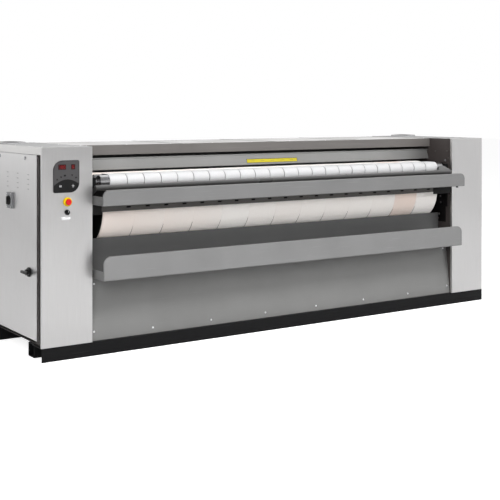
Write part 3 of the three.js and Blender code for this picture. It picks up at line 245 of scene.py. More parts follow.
def studio_floor():
    corners = [(a * FLOOR_HALF, b * FLOOR_HALF, -FLOOR_DROP) for a, b in ((-1, -1), (1, -1), (1, 1), (-1, 1))]
    floor = new_object("floor", corners, [[0, 1, 2, 3]])
    material = bpy.data.materials.new("floor")
    r = emptied(material)
    ray = r.rays()
    glow = r.times(ray["Is Camera Ray"], FLOOR_GLOW)
    glow = r.plus(glow, r.times(ray["Is Glossy Ray"], FLOOR_IN_STEEL))
    matt = r.add("ShaderNodeBsdfDiffuse", {"Color": light_value(214, 214, 214)})
    lamp = r.add("ShaderNodeEmission", {"Strength": glow})
    both = r.add("ShaderNodeAddShader", {0: matt.outputs[0], 1: lamp.outputs[0]})
    r.add("ShaderNodeOutputMaterial", {"Surface": both.outputs[0]})
    floor.data.materials.append(material)
    return floor


print("floor", studio_floor().name)

# %% Soft lamps
def soft_lamp(name, place, aim, size, watts):
    """A square lamp at place that faces the point aim. Neither the camera nor a mirroring surface shows
    it."""
    lamp = bpy.data.lights.new(name, "AREA")
    lamp.shape, lamp.size, lamp.energy = "SQUARE", size, watts
    holder = bpy.data.objects.new(name, lamp)
    holder.location = place
    x, y, z = np.array(aim, float) - np.array(place, float)
    holder.rotation_euler = (math.atan2(math.hypot(x, y), -z), 0, math.atan2(-x, y))
    holder.visible_camera = holder.visible_glossy = False
    bpy.context.scene.collection.objects.link(holder)
    print(name, size, "m across,", watts, "watts")


soft_lamp("left_softbox", (-6.5, -7.0, 4.3), (0, 0, 0.9), 4.2, 490)
soft_lamp("right_softbox", (5.5, -7.5, 4.1), (0, 0, 0.9), 3.8, 305)
soft_lamp("key_softbox", (-0.8, -5.2, 7.0), (0, 0, 0.8), 2.2, 620)
soft_lamp("rear_softbox", (2.0, 8.0, 4.5), (0, 0, 0.7), 4.0, 300)

# %% [markdown]
# ## Surface effects as node groups
#
# Several materials share an effect, such as the fine skin of powder coating, the lines of brushed steel or
# the threads of a cloth. Each effect is one node group with named inputs, and the material gives it its own
# values. The groups put out only masks and heights. The shader itself stays in each material.

# %% Start and end of a group
def effect(name, **inputs):
    """New shader group. An input without a value is a vector, and the others are numbers."""
    tree = bpy.data.node_groups.new(name, "ShaderNodeTree")
    for label, value in inputs.items():
        kind = "NodeSocketVector" if value is None else "NodeSocketFloat"
        socket = tree.interface.new_socket(label, in_out="INPUT", socket_type=kind)
        if value is not None:
            socket.default_value = value
    r = Recipe(tree)
    return r, r.add("NodeGroupInput").outputs


def put_out(r, **values):
    """Ends a group: each value becomes an output of that name."""
    for label in values:
        r.tree.interface.new_socket(label, in_out="OUTPUT", socket_type="NodeSocketFloat")
    r.add("NodeGroupOutput", values)
    return r.tree


# %% Skin of powder coating
def powder_skin():
    """Skin is fine noise, as of tiny dimples. Cloud is slow noise. Rub is the brightest part of a long
    noise."""
    r, given = effect("powder_skin", Vector=None, Grain=900.0)
    place = given["Vector"]
    rub = r.spread(r.noise(r.stretched(place, (2.0, 25.0, 90.0)), 2.0, 6.0), 0.62, 0.74)
    return put_out(r, Skin=r.noise(place, given["Grain"], 1.0), Cloud=r.noise(place, 3.1, 4.0), Rub=rub)


POWDER_SKIN = powder_skin()

# %% Lines of brushed steel
def brushed_lines():
    """Stretched runs along the brushing. Lines is fine noise on it, Cloud slow noise, and Marks those of
    hands."""
    r, given = effect("brushed_lines", Stretched=None, Vector=None)
    place = given["Vector"]
    marks = r.spread(r.noise(place, 7.0, 5.0), 0.58, 0.8)
    lines = r.noise(given["Stretched"], 1.0, 5.0)
    return put_out(r, Lines=lines, Cloud=r.noise(place, 1.7, 3.0), Marks=marks)


BRUSHED_LINES = brushed_lines()

# %% Threads of a plain weave
def woven_threads():
    """Height is sin(2 pi u / pitch) times sin(2 pi v / pitch), moved to 0..1. Slub is noise along the
    threads."""
    r, given = effect("woven_threads", Vector=None, Pitch=2.0 * MM)
    place = given["Vector"]
    u, v, _ = r.parts(place)
    turns = r.math("DIVIDE", 2 * math.pi, given["Pitch"])
    across = r.math("SINE", r.times(u, turns))
    along = r.math("SINE", r.times(v, turns))
    slub = r.noise(r.stretched(place, (60.0, 500.0, 1.0)), 1.0, 2.0)
    height = r.spread(r.times(across, along), -1.0, 1.0)
    return put_out(r, Height=height, Slub=slub, Cloud=r.noise(place, 4.5, 4.0))


WOVEN_THREADS = woven_threads()
print("groups", [g.name for g in bpy.data.node_groups])

# %% [markdown]
# ## Finishes
#
# Each finish is one material made by a short function: paint, brushed steel, plain metal, plastic and
# cloth. The colour drifts by a few hundredths from place to place, because no real sheet has one even
# colour.

# %% Start and end of a material
def begin(name, colour, drift):
    """New material, its recipe, and its colour made darker and lighter by the share drift."""
    material = bpy.data.materials.new(name)
    base = np.array(light_value(*colour)[:3])
    ends = [(*np.clip(base * (1 + sign * drift), 0, 1).tolist(), 1.0) for sign in (-1, 1)]
    return material, emptied(material), *ends


def finish_with(material, r, sockets):
    shader = r.add("ShaderNodeBsdfPrincipled", sockets)
    r.add("ShaderNodeOutputMaterial", {"Surface": shader.outputs[0]})
    return material


# %% Paint
# Dark grey that the shade ramp of a coat mixes in.
IN_SHADE = (30, 29, 28)
# Painted reflection: every coat glows this much in glossy rays only, so steel mirrors it lighter than it is
# lit.
PAINT_GLOW_IN_STEEL = 0.6


def paint(name, colour, roughness=0.42, drift=0.06, worn=None, rub=0.0, spec=0.5, shade=None):
    """Powder coat with its worn colour in rub of the rubbed places. shade is (axis, start, end, share): the
    coat goes from its own colour at start to the share of a dark grey at end: painted shade on the guard
    bar's underside, and a darker right end on the flap. The coat also glows in glossy rays only, a painted
    reflection that makes steel mirror it lighter than it is."""
    material, r, low, high = begin(name, colour, drift)
    place = r.own_place()
    skin = r.group(POWDER_SKIN, Vector=place)
    tone = r.mixed(r.spread(skin["Cloud"], 0.3, 0.7), low, high)
    if rub:
        tone = r.mixed(r.times(skin["Rub"], rub), tone, light_value(*worn))
    # Darker along one axis: painted shade on the guard bar's underside, a darker right end on the flap.
    if shade:
        axis, start, end, share = shade
        tone = r.mixed(r.spread(r.parts(place)[axis], start, end, 0.0, share), tone, light_value(*IN_SHADE))
    return finish_with(material, r, {
        "Base Color": tone,
        "Roughness": r.spread(skin["Cloud"], 0.3, 0.7, roughness - 0.05, roughness + 0.06),
        "Normal": r.raised(skin["Skin"], 0.05 * MM, 0.35),
        "Specular IOR Level": spec,
        # Painted reflection: a glow that only glossy rays see.
        "Emission Color": tone,
        "Emission Strength": r.times(r.rays()["Is Glossy Ray"], PAINT_GLOW_IN_STEEL),
    })


# %% Brushed steel
ALONG = {"y": (900.0, 5.0, 900.0), "z": (900.0, 900.0, 5.0)}


def brushed(name, colour, along, edge_on=None, roughness=0.36):
    """With edge_on, a colour, the sheet is that matt colour where it is looked at almost along its surface: a
    painted dull reflection in place of the steel's bright mirror of the room."""
    material, r, low, high = begin(name, colour, 0.07)
    place = r.own_place()
    steel = r.group(BRUSHED_LINES, Stretched=r.stretched(place, ALONG[along]), Vector=place)
    tone = r.mixed(r.spread(steel["Lines"], 0.25, 0.75), low, high)
    gloss = r.spread(steel["Lines"], 0.2, 0.8, roughness - 0.07, roughness + 0.07)
    gloss = r.plus(gloss, r.times(steel["Marks"], 0.08))
    gloss = r.plus(gloss, r.spread(steel["Cloud"], 0.3, 0.7, -0.03, 0.03))
    metallic, spec = 1.0, 0.5
    # Painted dull reflection: at grazing view the metal gives way to a matt grey.
    if edge_on:
        facing = r.add("ShaderNodeLayerWeight", {"Blend": 0.5}).outputs["Facing"]
        metallic = r.spread(facing, 0.82, 0.93, 1.0, 0.0)
        spec = r.times(metallic, 0.5)
        tone = r.mixed(metallic, light_value(*edge_on), tone)
    return finish_with(material, r, {
        "Base Color": tone, "Metallic": metallic, "Roughness": gloss, "Specular IOR Level": spec,
        "Normal": r.raised(steel["Lines"], 0.02 * MM, 0.3),
    })


# %% Plain metal and plastic
def metal(name, colour, roughness=0.3, metallic=1.0, grain=1400.0, depth=0.02 * MM):
    material, r, low, high = begin(name, colour, 0.09)
    skin = r.group(POWDER_SKIN, Vector=r.own_place(), Grain=grain)
    return finish_with(material, r, {
        "Base Color": r.mixed(r.spread(skin["Cloud"], 0.3, 0.7), low, high),
        "Metallic": metallic,
        "Roughness": r.spread(skin["Skin"], 0.2, 0.8, roughness - 0.06, roughness + 0.08),
        "Normal": r.raised(skin["Skin"], depth, 0.4),
        "Specular IOR Level": 0.5 if metallic else 0.3,
    })


def plastic(name, colour, roughness=0.35, grain=2200.0):
    return metal(name, colour, roughness, 0.0, grain, 0.03 * MM)


def glowing(name, colour, strength):
    material, r, low, high = begin(name, colour, 0.12)
    tone = r.mixed(r.group(POWDER_SKIN, Vector=r.own_place(), Grain=300.0)["Skin"], low, high)
    return finish_with(material, r, {
        "Base Color": tone, "Emission Color": tone, "Emission Strength": strength, "Roughness": 0.3,
    })


# %% Cloth
STRIP = 240 * MM
PINK_STRIP = 11.0


def cloth(name, colour, pitch, depth, strips=0.0, stain=None):
    """Woven cloth on the piece's own UV map, which is in metres. With strips, each 240 mm takes its own
    share of the stain colour, strip 11 takes most of it, and the left end is warmer too."""
    material, r, low, high = begin(name, colour, 0.05)
    flat = r.add("ShaderNodeUVMap", {}, uv_map="threads").outputs[0]
    threads = r.group(WOVEN_THREADS, Pitch=pitch, Vector=flat)
    tone = r.mixed(r.spread(threads["Height"], 0.0, 1.0), low, high)
    tone = r.mixed(r.spread(threads["Slub"], 0.35, 0.65, 0.0, 0.5), tone, low)
    if strips:
        x = r.parts(r.own_place())["X"]
        number = r.math("FLOOR", r.math("DIVIDE", r.plus(x, 6.5 * STRIP), STRIP))
        chance = r.add("ShaderNodeTexWhiteNoise", {"W": number}, noise_dimensions="1D").outputs["Value"]
        inputs = {0: number, 1: PINK_STRIP, 2: 0.5}
        pink = r.add("ShaderNodeMath", inputs, operation="COMPARE").outputs[0]
        for share in (r.times(chance, strips), r.times(pink, 0.75), r.spread(x, -1.5, -0.5, 0.5, 0.0)):
            tone = r.mixed(share, tone, light_value(*stain))
    tone = r.mixed(r.spread(threads["Cloud"], 0.3, 0.7, 0.0, 0.35), tone, low)
    return finish_with(material, r, {
        "Base Color": tone, "Roughness": 0.92, "Normal": r.raised(threads["Height"], depth, 0.6),
        "Sheen Weight": 0.25, "Specular IOR Level": 0.25,
    })


# %% All finishes
# FAR_END makes the flap darker towards its right end. The guard bar's ramp is painted shade on its underside,
# below 1.136 m.
FAR_END = ("X", 1.1, 1.64, 0.52)
PAINTED_UNDERSIDE_SHADE = ("Z", 1.136, 1.12, 0.66)

FINISH = {
    "stainless": brushed("stainless_upright", (206, 205, 205), "z"),
    # The flat tops turn matt grey at grazing view, a painted dull reflection.
    "stainless_top": brushed("stainless_flat", (205, 204, 203), "y", edge_on=(165, 165, 165)),
    "grey_paint": paint("grey_powder_coat", (115, 115, 115), worn=(190, 190, 190), rub=0.12),
    "tray_grey": paint("upper_tray_coat", (106, 106, 106), worn=(180, 180, 180), rub=0.12),
    "flap_grey": paint("guard_flap_coat", (120, 120, 119), worn=(195, 195, 195), rub=0.08, shade=FAR_END),
    "panel_grey": paint("lower_panel_coat", (110, 110, 109), worn=(180, 180, 180), rub=0.05),
    "cover_grey": paint("top_cover_coat", (94, 91, 89), 0.33, worn=(170, 168, 166), rub=0.10),
    "dark_paint": paint("dark_plate_coat", (75, 75, 75), 0.36, worn=(125, 125, 125), rub=0.15),
    "rail_grey": paint("rail_coat", (66, 63, 60), 0.5),
    "inner_wall": paint("inner_wall_coat", (60, 55, 54), 0.5, spec=0.3),
    "black_paint": paint("black_coat", (17, 17, 18), 0.55, worn=(60, 60, 62), rub=0.2, spec=0.15),
    "bar_grey": paint("guard_bar_coat", (88, 88, 88), 0.3, worn=(150, 150, 150), rub=0.2, shade=PAINTED_UNDERSIDE_SHADE),
    "bright_steel": metal("bright_steel", (200, 200, 202), 0.22),
    # Near white, so the heads show as bright points: zinc colour with a painted glint.
    "screw_zinc_glint": metal("screw_zinc_glint", (236, 236, 238), 0.5, 0.55),
    "dull_bolt": metal("dull_bolt", (120, 119, 120), 0.5, 0.4),
    "galvanised": metal("zinc_plated", (168, 172, 178), 0.38, 1.0, 260.0),
    "cast_iron": metal("cast_iron_enamel", (58, 66, 76), 0.55, 0.1, 420.0, 0.15 * MM),
    "black_plastic": plastic("black_plastic", (10, 10, 11), 0.4),
    "grey_plastic": plastic("grey_plastic", (122, 123, 125), 0.45),
    "red_plastic": plastic("red_plastic", (186, 24, 30), 0.3),
    "yellow_plastic": plastic("yellow_plastic", (212, 178, 18), 0.4),
    "white_label": plastic("white_label", (204, 203, 204), 0.4),
    "key_print": plastic("key_print", (166, 166, 168), 0.5),
    "yellow_label": plastic("yellow_label", (174, 161, 44), 0.45),
    "clothing": cloth("roll_cloth", (250, 246, 242), 2.4 * MM, 0.35 * MM, 0.12, (240, 216, 202)),
    "band": cloth("feed_band_weave", (193, 193, 194), 1.6 * MM, 0.2 * MM),
    "display": plastic("display_glass", (54, 2, 4), 0.3, 200.0),
    "digit": glowing("display_digit", (112, 8, 10), 0.12),
    "panel_face": paint("panel_membrane", (60, 59, 60), 0.5, 0.03, spec=0.35),
    "black_film": plastic("black_print", (12, 12, 13), 0.55),
    "finger_brown": metal("finger_steel", (92, 72, 66), 0.4),
    "dull_print": plastic("dull_print", (150, 140, 52), 0.5),
    # Black sheet that paints the deep shade at the roll's ends and behind the rail's slots.
    "shade_black_sheet": paint("painted_shade_sheet", (14, 13, 13), 0.6, spec=0.2),
}
print(len(FINISH), "finishes")

# %% [markdown]
# ## Finishes for the solid parts
#
# Every CAD part first gets its finish, by name. Later cells replace those that need a finer shape.

# %% Which part has which finish
BY_FINISH = {
    "stainless": "cabinet_front cabinet_back side_door",
    "stainless_top": "cabinet_top",
    "grey_paint": "lower_tray blower_housing",
    "tray_grey": "upper_tray",
    "flap_grey": "guard_flap",
    "panel_grey": "lower_front_panel centre_back_panel electrical_box",
    "cover_grey": "centre_top_cover",
    "dark_paint": "chest_front_cover front_tie_beam rear_tie_beam",
    "bar_grey": "finger_guard_bar",
    "rail_grey": "perforated_rail",
    "inner_wall": "side_frame stripper_comb",
    "black_paint": "kick_plate front_base_beam rear_base_beam feed_bracket roll_shell",
    "bright_steel": "front_feed_roller nose_feed_roller roll_sprockets motor_sprocket door_lock",
    "galvanised": "drive_chain feed_chain ironing_chest chest_heater blower_impeller",
    "cast_iron": "roll_bearing gearmotor",
    "black_plastic": "door_handle isolator_handle start_key stop_key selector_knob",
    "grey_plastic": "isolator_switch control_panel",
    "red_plastic": "emergency_stop_button",
    "yellow_plastic": "emergency_stop_collar",
    "clothing": "roll_clothing",
    "band": "feed_bands",
    "display": "temperature_display speed_display",
}


def finish_of(node):
    """The first finish in the list that names the part, with or without its side."""
    return next(f for f, names in BY_FINISH.items() if any(node.endswith(n) for n in names.split()))


for name, part in nodes.items():
    part.material_slots[0].material = FINISH[finish_of(name)]
print(len(nodes), "parts painted")

# %% [markdown]
# ## Shapes from numbers
#
# Most small pieces of a machine are stacks of outlines: a knob is a round outline that grows and shrinks
# along its axis, and a switch box is a rounded rectangle that does the same. So one function makes an
# outline, one stacks outlines, and one puts the points into a mesh. All points are worked out as whole
# numpy arrays.

# %% Outlines and grids
def polar(radius, angle):
    """Points (radius * cos, radius * sin). Either can be an array."""
    return np.stack([radius * np.cos(angle), radius * np.sin(angle)], -1)


def cut_outline(low, high, corners, inset=0.0, steps=8):
    """Rectangle whose corners (top right, top left, bottom left, bottom right) are quarter circles, each
    about a centre that lies its radius inside both edges. An inset draws every edge inwards, and takes as
    much from each radius."""
    turn = np.linspace(0, math.pi / 2, steps + 1)
    places = [(high[0], high[1]), (low[0], high[1]), (low[0], low[1]), (high[0], low[1])]
    signs = [(1, 1), (-1, 1), (-1, -1), (1, -1)]
    rows = []
    for k, (place, sign, r) in enumerate(zip(places, signs, corners)):
        t, reach = turn + k * math.pi / 2, max(r - inset, 0.05)
        centre = np.array(place) - np.array(sign) * (inset + reach)
        rows.append(centre + polar(reach, t))
    return np.concatenate(rows)


def cells(rows, columns, round_rows=False, round_columns=False):
    """Corner numbers of a grid's cells. A round direction also joins its last line to its first."""
    r, c = np.meshgrid(
        np.arange(rows if round_rows else rows - 1),
        np.arange(columns if round_columns else columns - 1),
        indexing="ij",
    )
    next_r, next_c = (r + 1) % rows, (c + 1) % columns
    corners = [r * columns + c, r * columns + next_c, next_r * columns + next_c, next_r * columns + c]
    return np.stack(corners, -1).reshape(-1, 4)


def loft(rings, hollow=False):
    """Skin over rings of equally many points, given as (ring, point, xyz). Flat caps close its two ends,
    or, if it is hollow, the last ring joins the first. A shape is its points and its groups of faces."""
    rings = np.asarray(rings, float)
    count, around = rings.shape[:2]
    faces = [cells(count, around, hollow, True)]
    if not hollow:
        faces.append(np.arange(around)[None, ::-1])
        faces.append((count - 1) * around + np.arange(around)[None, :])
    return rings.reshape(-1, 3), faces


# Each facing has its own two directions along the face, and one out of it.
AXES = {
    "front": np.array([[1, 0, 0], [0, 0, 1], [0, -1, 0]], float),
    "back": np.array([[-1, 0, 0], [0, 0, 1], [0, 1, 0]], float),
    "left": np.array([[0, -1, 0], [0, 0, 1], [-1, 0, 0]], float),
    "right": np.array([[0, 1, 0], [0, 0, 1], [1, 0, 0]], float),
    "up": np.array([[1, 0, 0], [0, 1, 0], [0, 0, 1]], float),
}


def layered(place, facing, rings, hollow=False):
    """Skin over flat outlines in millimetres, given as (height, points (a, b)). A point is place + a *
    first direction + b * second direction + height * outward direction."""
    axes = AXES[facing] if isinstance(facing, str) else facing
    points = [flat[:, :1] * axes[0] + flat[:, 1:] * axes[1] + height * axes[2] for height, flat in rings]
    return loft(np.asarray(place, float) + np.array(points) * MM, hollow)


def stack(place, facing, layers, steps=5, hollow=False):
    """Rounded rectangles about place, given in millimetres as (height, half_a, half_b, corner)."""
    rings = [(h, cut_outline((-a, -b), (a, b), [corner] * 4, 0, steps)) for h, a, b, corner in layers]
    return layered(place, facing, rings, hollow)


def turned(place, facing, profile, steps=9, hollow=False):
    """Turned shape from its (height, radius) profile. A rectangle that is all corner is a circle."""
    return stack(place, facing, [(h, r, r, r) for h, r in profile], steps, hollow)


def slab(flat, facing, place, bottom, top, edge=0.0):
    """A flat outline (a, b) raised from bottom to top. edge slopes its rim by scaling the upper outline
    about its middle by 1 - edge."""
    flat = np.asarray(flat, float)
    middle = flat.mean(0)
    layers = [(bottom, 1.0), (top - (top - bottom) * 0.4, 1.0), (top, 1.0 - edge)]
    return layered(place, facing, [(height, middle + (flat - middle) * size) for height, size in layers])


def block(low, high, corner=1.5):
    """A block between two corners in metres. Its upright edges are round, and so are its rims: the outline
    is drawn in by r - r sin(t) where it has risen by r - r cos(t)."""
    low, high = np.asarray(low, float), np.asarray(high, float)
    half = (high - low) / 2 / MM
    r = min(corner, half.min() * 0.9)
    turn = np.linspace(0, math.pi / 2, 4)
    rims = zip(r * (1 - np.cos(turn)), r * (1 - np.sin(turn)))
    lower = [(h, half[0] - p, half[1] - p, max(r - p, 0.05)) for h, p in rims]
    upper = [(2 * half[2] - h, a, b, c) for h, a, b, c in reversed(lower)]
    return stack((*((low + high) / 2)[:2], low[2]), "up", lower + upper, 3)


def drawn(sections):
    """Skin over (y, z) sections in metres, given as (x, section)."""
    return loft([np.insert(np.asarray(flat, float), 0, x, axis=1) for x, flat in sections])


# %% Arrays into meshes
def joined(mesh, gap, outward=False, whole_planes=False):
    """Joins points closer than gap, so seams and poles are closed. Then the faces of a closed shell can be
    turned outwards, and triangles in one plane made one face."""
    work = bmesh.new()
    work.from_mesh(mesh)
    bmesh.ops.remove_doubles(work, verts=work.verts, dist=gap)
    if outward:
        bmesh.ops.recalc_face_normals(work, faces=work.faces)
    if whole_planes:
        bmesh.ops.dissolve_limit(work, angle_limit=math.radians(0.5), verts=work.verts, edges=work.edges)
    work.to_mesh(mesh)
    work.free()


def flat_list(shapes):
    """One list out of one shape, or out of lists of shapes in lists."""
    if isinstance(shapes, tuple):
        return [shapes]
    return [shape for part in shapes for shape in flat_list(part)]


def make_piece(name, shapes, finish, body="frame", crease=32, replaces=None, closed=True, threads=None):
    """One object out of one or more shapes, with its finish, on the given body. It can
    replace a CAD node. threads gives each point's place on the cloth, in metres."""
    shapes = flat_list(shapes)
    faces, start = [], 0
    for points, groups in shapes:
        for group in groups:
            faces.extend((np.asarray(group) + start).tolist())
        start += len(points)
    piece = new_object(name, np.concatenate([points for points, _ in shapes]), faces)
    mesh = piece.data
    if threads is not None:
        corner = np.zeros(len(mesh.loops), np.int32)
        mesh.loops.foreach_get("vertex_index", corner)
        layer = mesh.uv_layers.new(name="threads")
        layer.data.foreach_set("uv", threads[corner].astype(np.float32).ravel())
    joined(mesh, 0.01 * MM, outward=closed)
    mesh.shade_smooth()
    mesh.set_sharp_from_angle(angle=math.radians(crease))
    mesh.materials.append(FINISH[finish])
    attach(piece, body)
    if replaces:
        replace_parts(piece, replaces)
    return piece


# %% [markdown]
# ## Softer edges on sheet metal
#
# Folded sheet has no knife edges: each fold is a small round that catches a line of light. The CAD solids
# have sharp folds, so a copy of each gets a Bevel modifier. The copy's points are joined first, because the
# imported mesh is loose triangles, and triangles in one plane are made whole faces.

# %% Copies with rounded edges
def with_round_edges(node, width=0.9 * MM, segments=2, crease=33):
    part = nodes[node]
    points = np.zeros(len(part.data.vertices) * 3, np.float32)
    part.data.vertices.foreach_get("co", points)
    corner = np.zeros(len(part.data.loops), np.int32)
    part.data.loops.foreach_get("vertex_index", corner)
    piece = new_object(node + "_sheet", points.reshape(-1, 3), corner.reshape(-1, 3).tolist())
    joined(piece.data, 0.02 * MM, whole_planes=True)
    piece.data.shade_smooth()
    piece.data.materials.append(FINISH[finish_of(node)])
    edges = piece.modifiers.new("round_edges", "BEVEL")
    edges.width, edges.segments = width, segments
    edges.limit_method, edges.angle_limit = "ANGLE", math.radians(crease)
    edges.harden_normals, edges.use_clamp_overlap = True, False
    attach(piece, part["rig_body"])
    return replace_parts(piece, node)


SIDES = (("left", -1), ("right", 1))
CABINET_SHEETS = "cabinet_front cabinet_top cabinet_back side_door side_frame roll_bearing feed_bracket"
SHEETS = [f"{side}_{name}" for side, _ in SIDES for name in CABINET_SHEETS.split()]
SHEETS += """kick_plate front_base_beam rear_base_beam front_tie_beam rear_tie_beam perforated_rail guard_flap
    lower_front_panel centre_top_cover centre_back_panel chest_front_cover ironing_chest
    roll_shell electrical_box gearmotor blower_housing blower_impeller chest_heater""".split()
rounded = [with_round_edges(name) for name in SHEETS]
print(len(rounded), "parts with rounded edges")

# %% [markdown]
# ## Roll clothing
#
# The roll is padded and covered with cloth, wound side by side in thirteen strips. Each strip is drawn down
# at its edges, so the joints between strips show as fine valleys. It is a turned surface: a profile of
# radius along the length, swept once round the axis. The padding is never quite even, which a few slow
# waves give it.

# %% A profile swept round the roll's axis
clothing_low, clothing_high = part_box("roll_clothing")
ROLL_Y = float(clothing_low.y + clothing_high.y) / 2
ROLL_Z = 0.955
ROLL_R = 250 * MM
ROLL_HALF = float(clothing_high.x)
ROLL_STRIPS = 13


def strip_profile():
    """(x, radius) over all strips. The radius falls towards a joint by 1.5 mm times e to the -distance / 2
    mm, and towards the roll's ends by 5.5 mm times e to the -distance / 5 mm."""
    near_joint = np.array([0, 0.6, 1.4, 2.6, 4.2, 6.5, 10, 18, 40, 80]) * MM
    half = np.concatenate([near_joint, [STRIP / 2]])
    one = np.concatenate([half, STRIP - half[-2::-1]])
    x = np.concatenate([one[:-1] + STRIP * k for k in range(ROLL_STRIPS)] + [[STRIP * ROLL_STRIPS]])
    distance = np.minimum(x % STRIP, STRIP - x % STRIP)
    fall = 1.5 * MM * np.exp(-distance / (2 * MM))
    end = np.minimum(x, STRIP * ROLL_STRIPS - x)
    fall += 5.5 * MM * np.exp(-end / (5 * MM))
    return x - ROLL_HALF, ROLL_R - 0.3 * MM - fall


def clothing_shape(around=121):
    """Point = axis + radius * (cos, sin), and the radius gets 0.25 mm waves of angle and length. The
    profile goes along the outside, down both ends and back inside at the shell's radius, and closes on
    itself."""
    x, radius = strip_profile()
    inner = np.array([ROLL_R - 9.8 * MM] * 2)
    x = np.concatenate([x, x[[-1, 0]], x[:1]])
    radius = np.concatenate([radius, inner, radius[:1]])
    a, along = np.meshgrid(np.linspace(0, 2 * math.pi, around), x, indexing="ij")
    r = np.broadcast_to(radius, a.shape)
    outside = (r > ROLL_R - 8.5 * MM)
    wave = np.sin(3 * a + 9 * along) + 0.6 * np.sin(7 * a - 23 * along) + 0.5 * np.sin(2 * a + 51 * along)
    r = r + 0.25 * MM * wave * outside
    points = np.concatenate([along[..., None], (ROLL_Y, ROLL_Z) + polar(r, a)], -1)
    threads = np.stack([along, a * ROLL_R], -1).reshape(-1, 2)
    return (points.reshape(-1, 3), [cells(*a.shape)]), threads


shape, threads = clothing_shape()
clothing = make_piece("roll_cloth", shape, "clothing", "roll", 60, "roll_clothing", threads=threads)
print("roll cloth", len(clothing.data.polygons), "faces")

# %% [markdown]
# ## Feed bands
#
# Twenty-three white bands run side by side round two feed rollers. A band is a flat strip with rounded
# edges, carried along the line that just holds both rollers: an arc on each, and the straight runs between
# them.

# %% Line round two rollers
FEED, NOSE = mm(-374.5, 1158.6), mm(-291.61, 1183.6)
BANDS, BAND_PITCH = 23, 132.7 * MM
# Radii and the band's own section are in millimetres, as all outlines are.
FEED_R, NOSE_R = 43, 18
BAND_HALF, BAND_HALF_THICK, BAND_CROWN = 64.1, 0.95, 0.25


def belt_line(a, ra, b, rb, arc_steps, run_steps):
    """Closed line round two circles, the larger one first. Seen from a, the tangent points lie on both
    sides of the direction to b, away from it by the angle whose cosine is (ra - rb) / distance."""
    way = b - a
    along = math.atan2(way[1], way[0])
    away = math.acos((ra - rb) / math.hypot(*way))
    on_b = np.linspace(along - away, along + away, arc_steps)
    on_a = np.linspace(along + away, along + 2 * math.pi - away, 2 * arc_steps)
    arc_b, arc_a = b + polar(rb, on_b), a + polar(ra, on_a)
    share = np.linspace(0, 1, run_steps + 2)[1:-1, None]
    back = arc_b[-1] + share * (arc_a[0] - arc_b[-1])
    ahead = arc_a[-1] + share * (arc_b[0] - arc_a[-1])
    return np.concatenate([arc_b, back, arc_a, ahead, arc_b[:1]])


def belt_outward(line):
    """Unit normals of a closed line that runs anticlockwise: the tangent turned by a quarter to the
    right."""
    loop = line[:-1]
    tangent = np.roll(loop, -1, 0) - np.roll(loop, 1, 0)
    normal = np.stack([tangent[:, 1], -tangent[:, 0]], -1)
    normal /= np.linalg.norm(normal, axis=1, keepdims=True)
    return np.concatenate([normal, normal[:1]])


def length_along(line):
    """Way from the line's start to each of its points."""
    return np.concatenate([[0], np.cumsum(np.linalg.norm(np.diff(line, axis=0), axis=1))])


def band_shapes():
    """Point = line + outward * (rise of the band's section), at x across the band. The section is crowned
    by a quarter of a millimetre, 0.25 * (1 - (across / half)^2)."""
    line = belt_line(FEED, (FEED_R + 1.5) * MM, NOSE, (NOSE_R + 1.5) * MM, 12, 4)
    normal = belt_outward(line)
    corner = BAND_HALF, BAND_HALF_THICK
    section = cut_outline(-np.array(corner), corner, [0.9] * 4, 0, 2)
    section = np.concatenate([section, section[:1]])
    rise = (BAND_HALF_THICK + section[:, 1] + BAND_CROWN * (1 - (section[:, 0] / BAND_HALF) ** 2)) * MM
    flat = line[:, None, :] + normal[:, None, :] * rise[None, :, None]
    shapes, threads = [], []
    for k in range(BANDS):
        uneven = 0.35 * MM * math.sin(2.4 * k)
        middle = (k - (BANDS - 1) / 2) * BAND_PITCH + uneven
        x = np.broadcast_to(middle + section[:, 0] * MM, (len(line), len(section)))
        shapes.append((np.concatenate([x[..., None], flat], -1).reshape(-1, 3), [cells(*x.shape)]))
        v = np.broadcast_to(length_along(line)[:, None] + 0.037 * k, x.shape)
        threads.append(np.stack([x, v], -1).reshape(-1, 2))
    return shapes, np.concatenate(threads)


shapes, threads = band_shapes()
bands = make_piece("feed_band_loops", shapes, "band", "frame", 50, "feed_bands", threads=threads)
print("bands", len(bands.data.polygons), "faces, top at", round(max(v.co.z for v in bands.data.vertices), 4))

# %% [markdown]
# ## Trays
#
# Each tray is one folded sheet: a small hem at the top, the lip with its two rounded corners, a bend, and
# the floor that runs back between the cabinets. The lip's ends are turned back too. A grid fits such a
# sheet: one direction follows the fold, the other runs along the machine, and the grid's ends follow the
# rounded corners.

# %% One folded tray sheet
# From a little in front of the cabinets, a sheet keeps within this half width between them.
HELD_FROM, HELD_HALF = -455 * MM, 1664 * MM


def fold_path(front, bottom, top, back, bend=4 * MM, hem=12 * MM):
    """(y, z) from the hem's edge over the top bend, down the lip, round the lower bend and along the floor.
    A bend is a quarter circle of the given radius."""
    turn = np.linspace(0, math.pi / 2, 6)
    upper = np.stack([front + bend - bend * np.sin(turn), top - bend + bend * np.cos(turn)], -1)
    lower = np.stack([front + bend - bend * np.cos(turn), bottom + bend - bend * np.sin(turn)], -1)
    lip = np.linspace(top - bend, bottom + bend, 40)[1:-1]
    lip = np.stack([np.full_like(lip, front), lip], -1)
    floor = np.linspace(front + bend, back, 8)[1:]
    floor = np.stack([floor, np.full_like(floor, bottom)], -1)
    return np.concatenate([[[front + hem, top]], upper, lip, lower, floor])


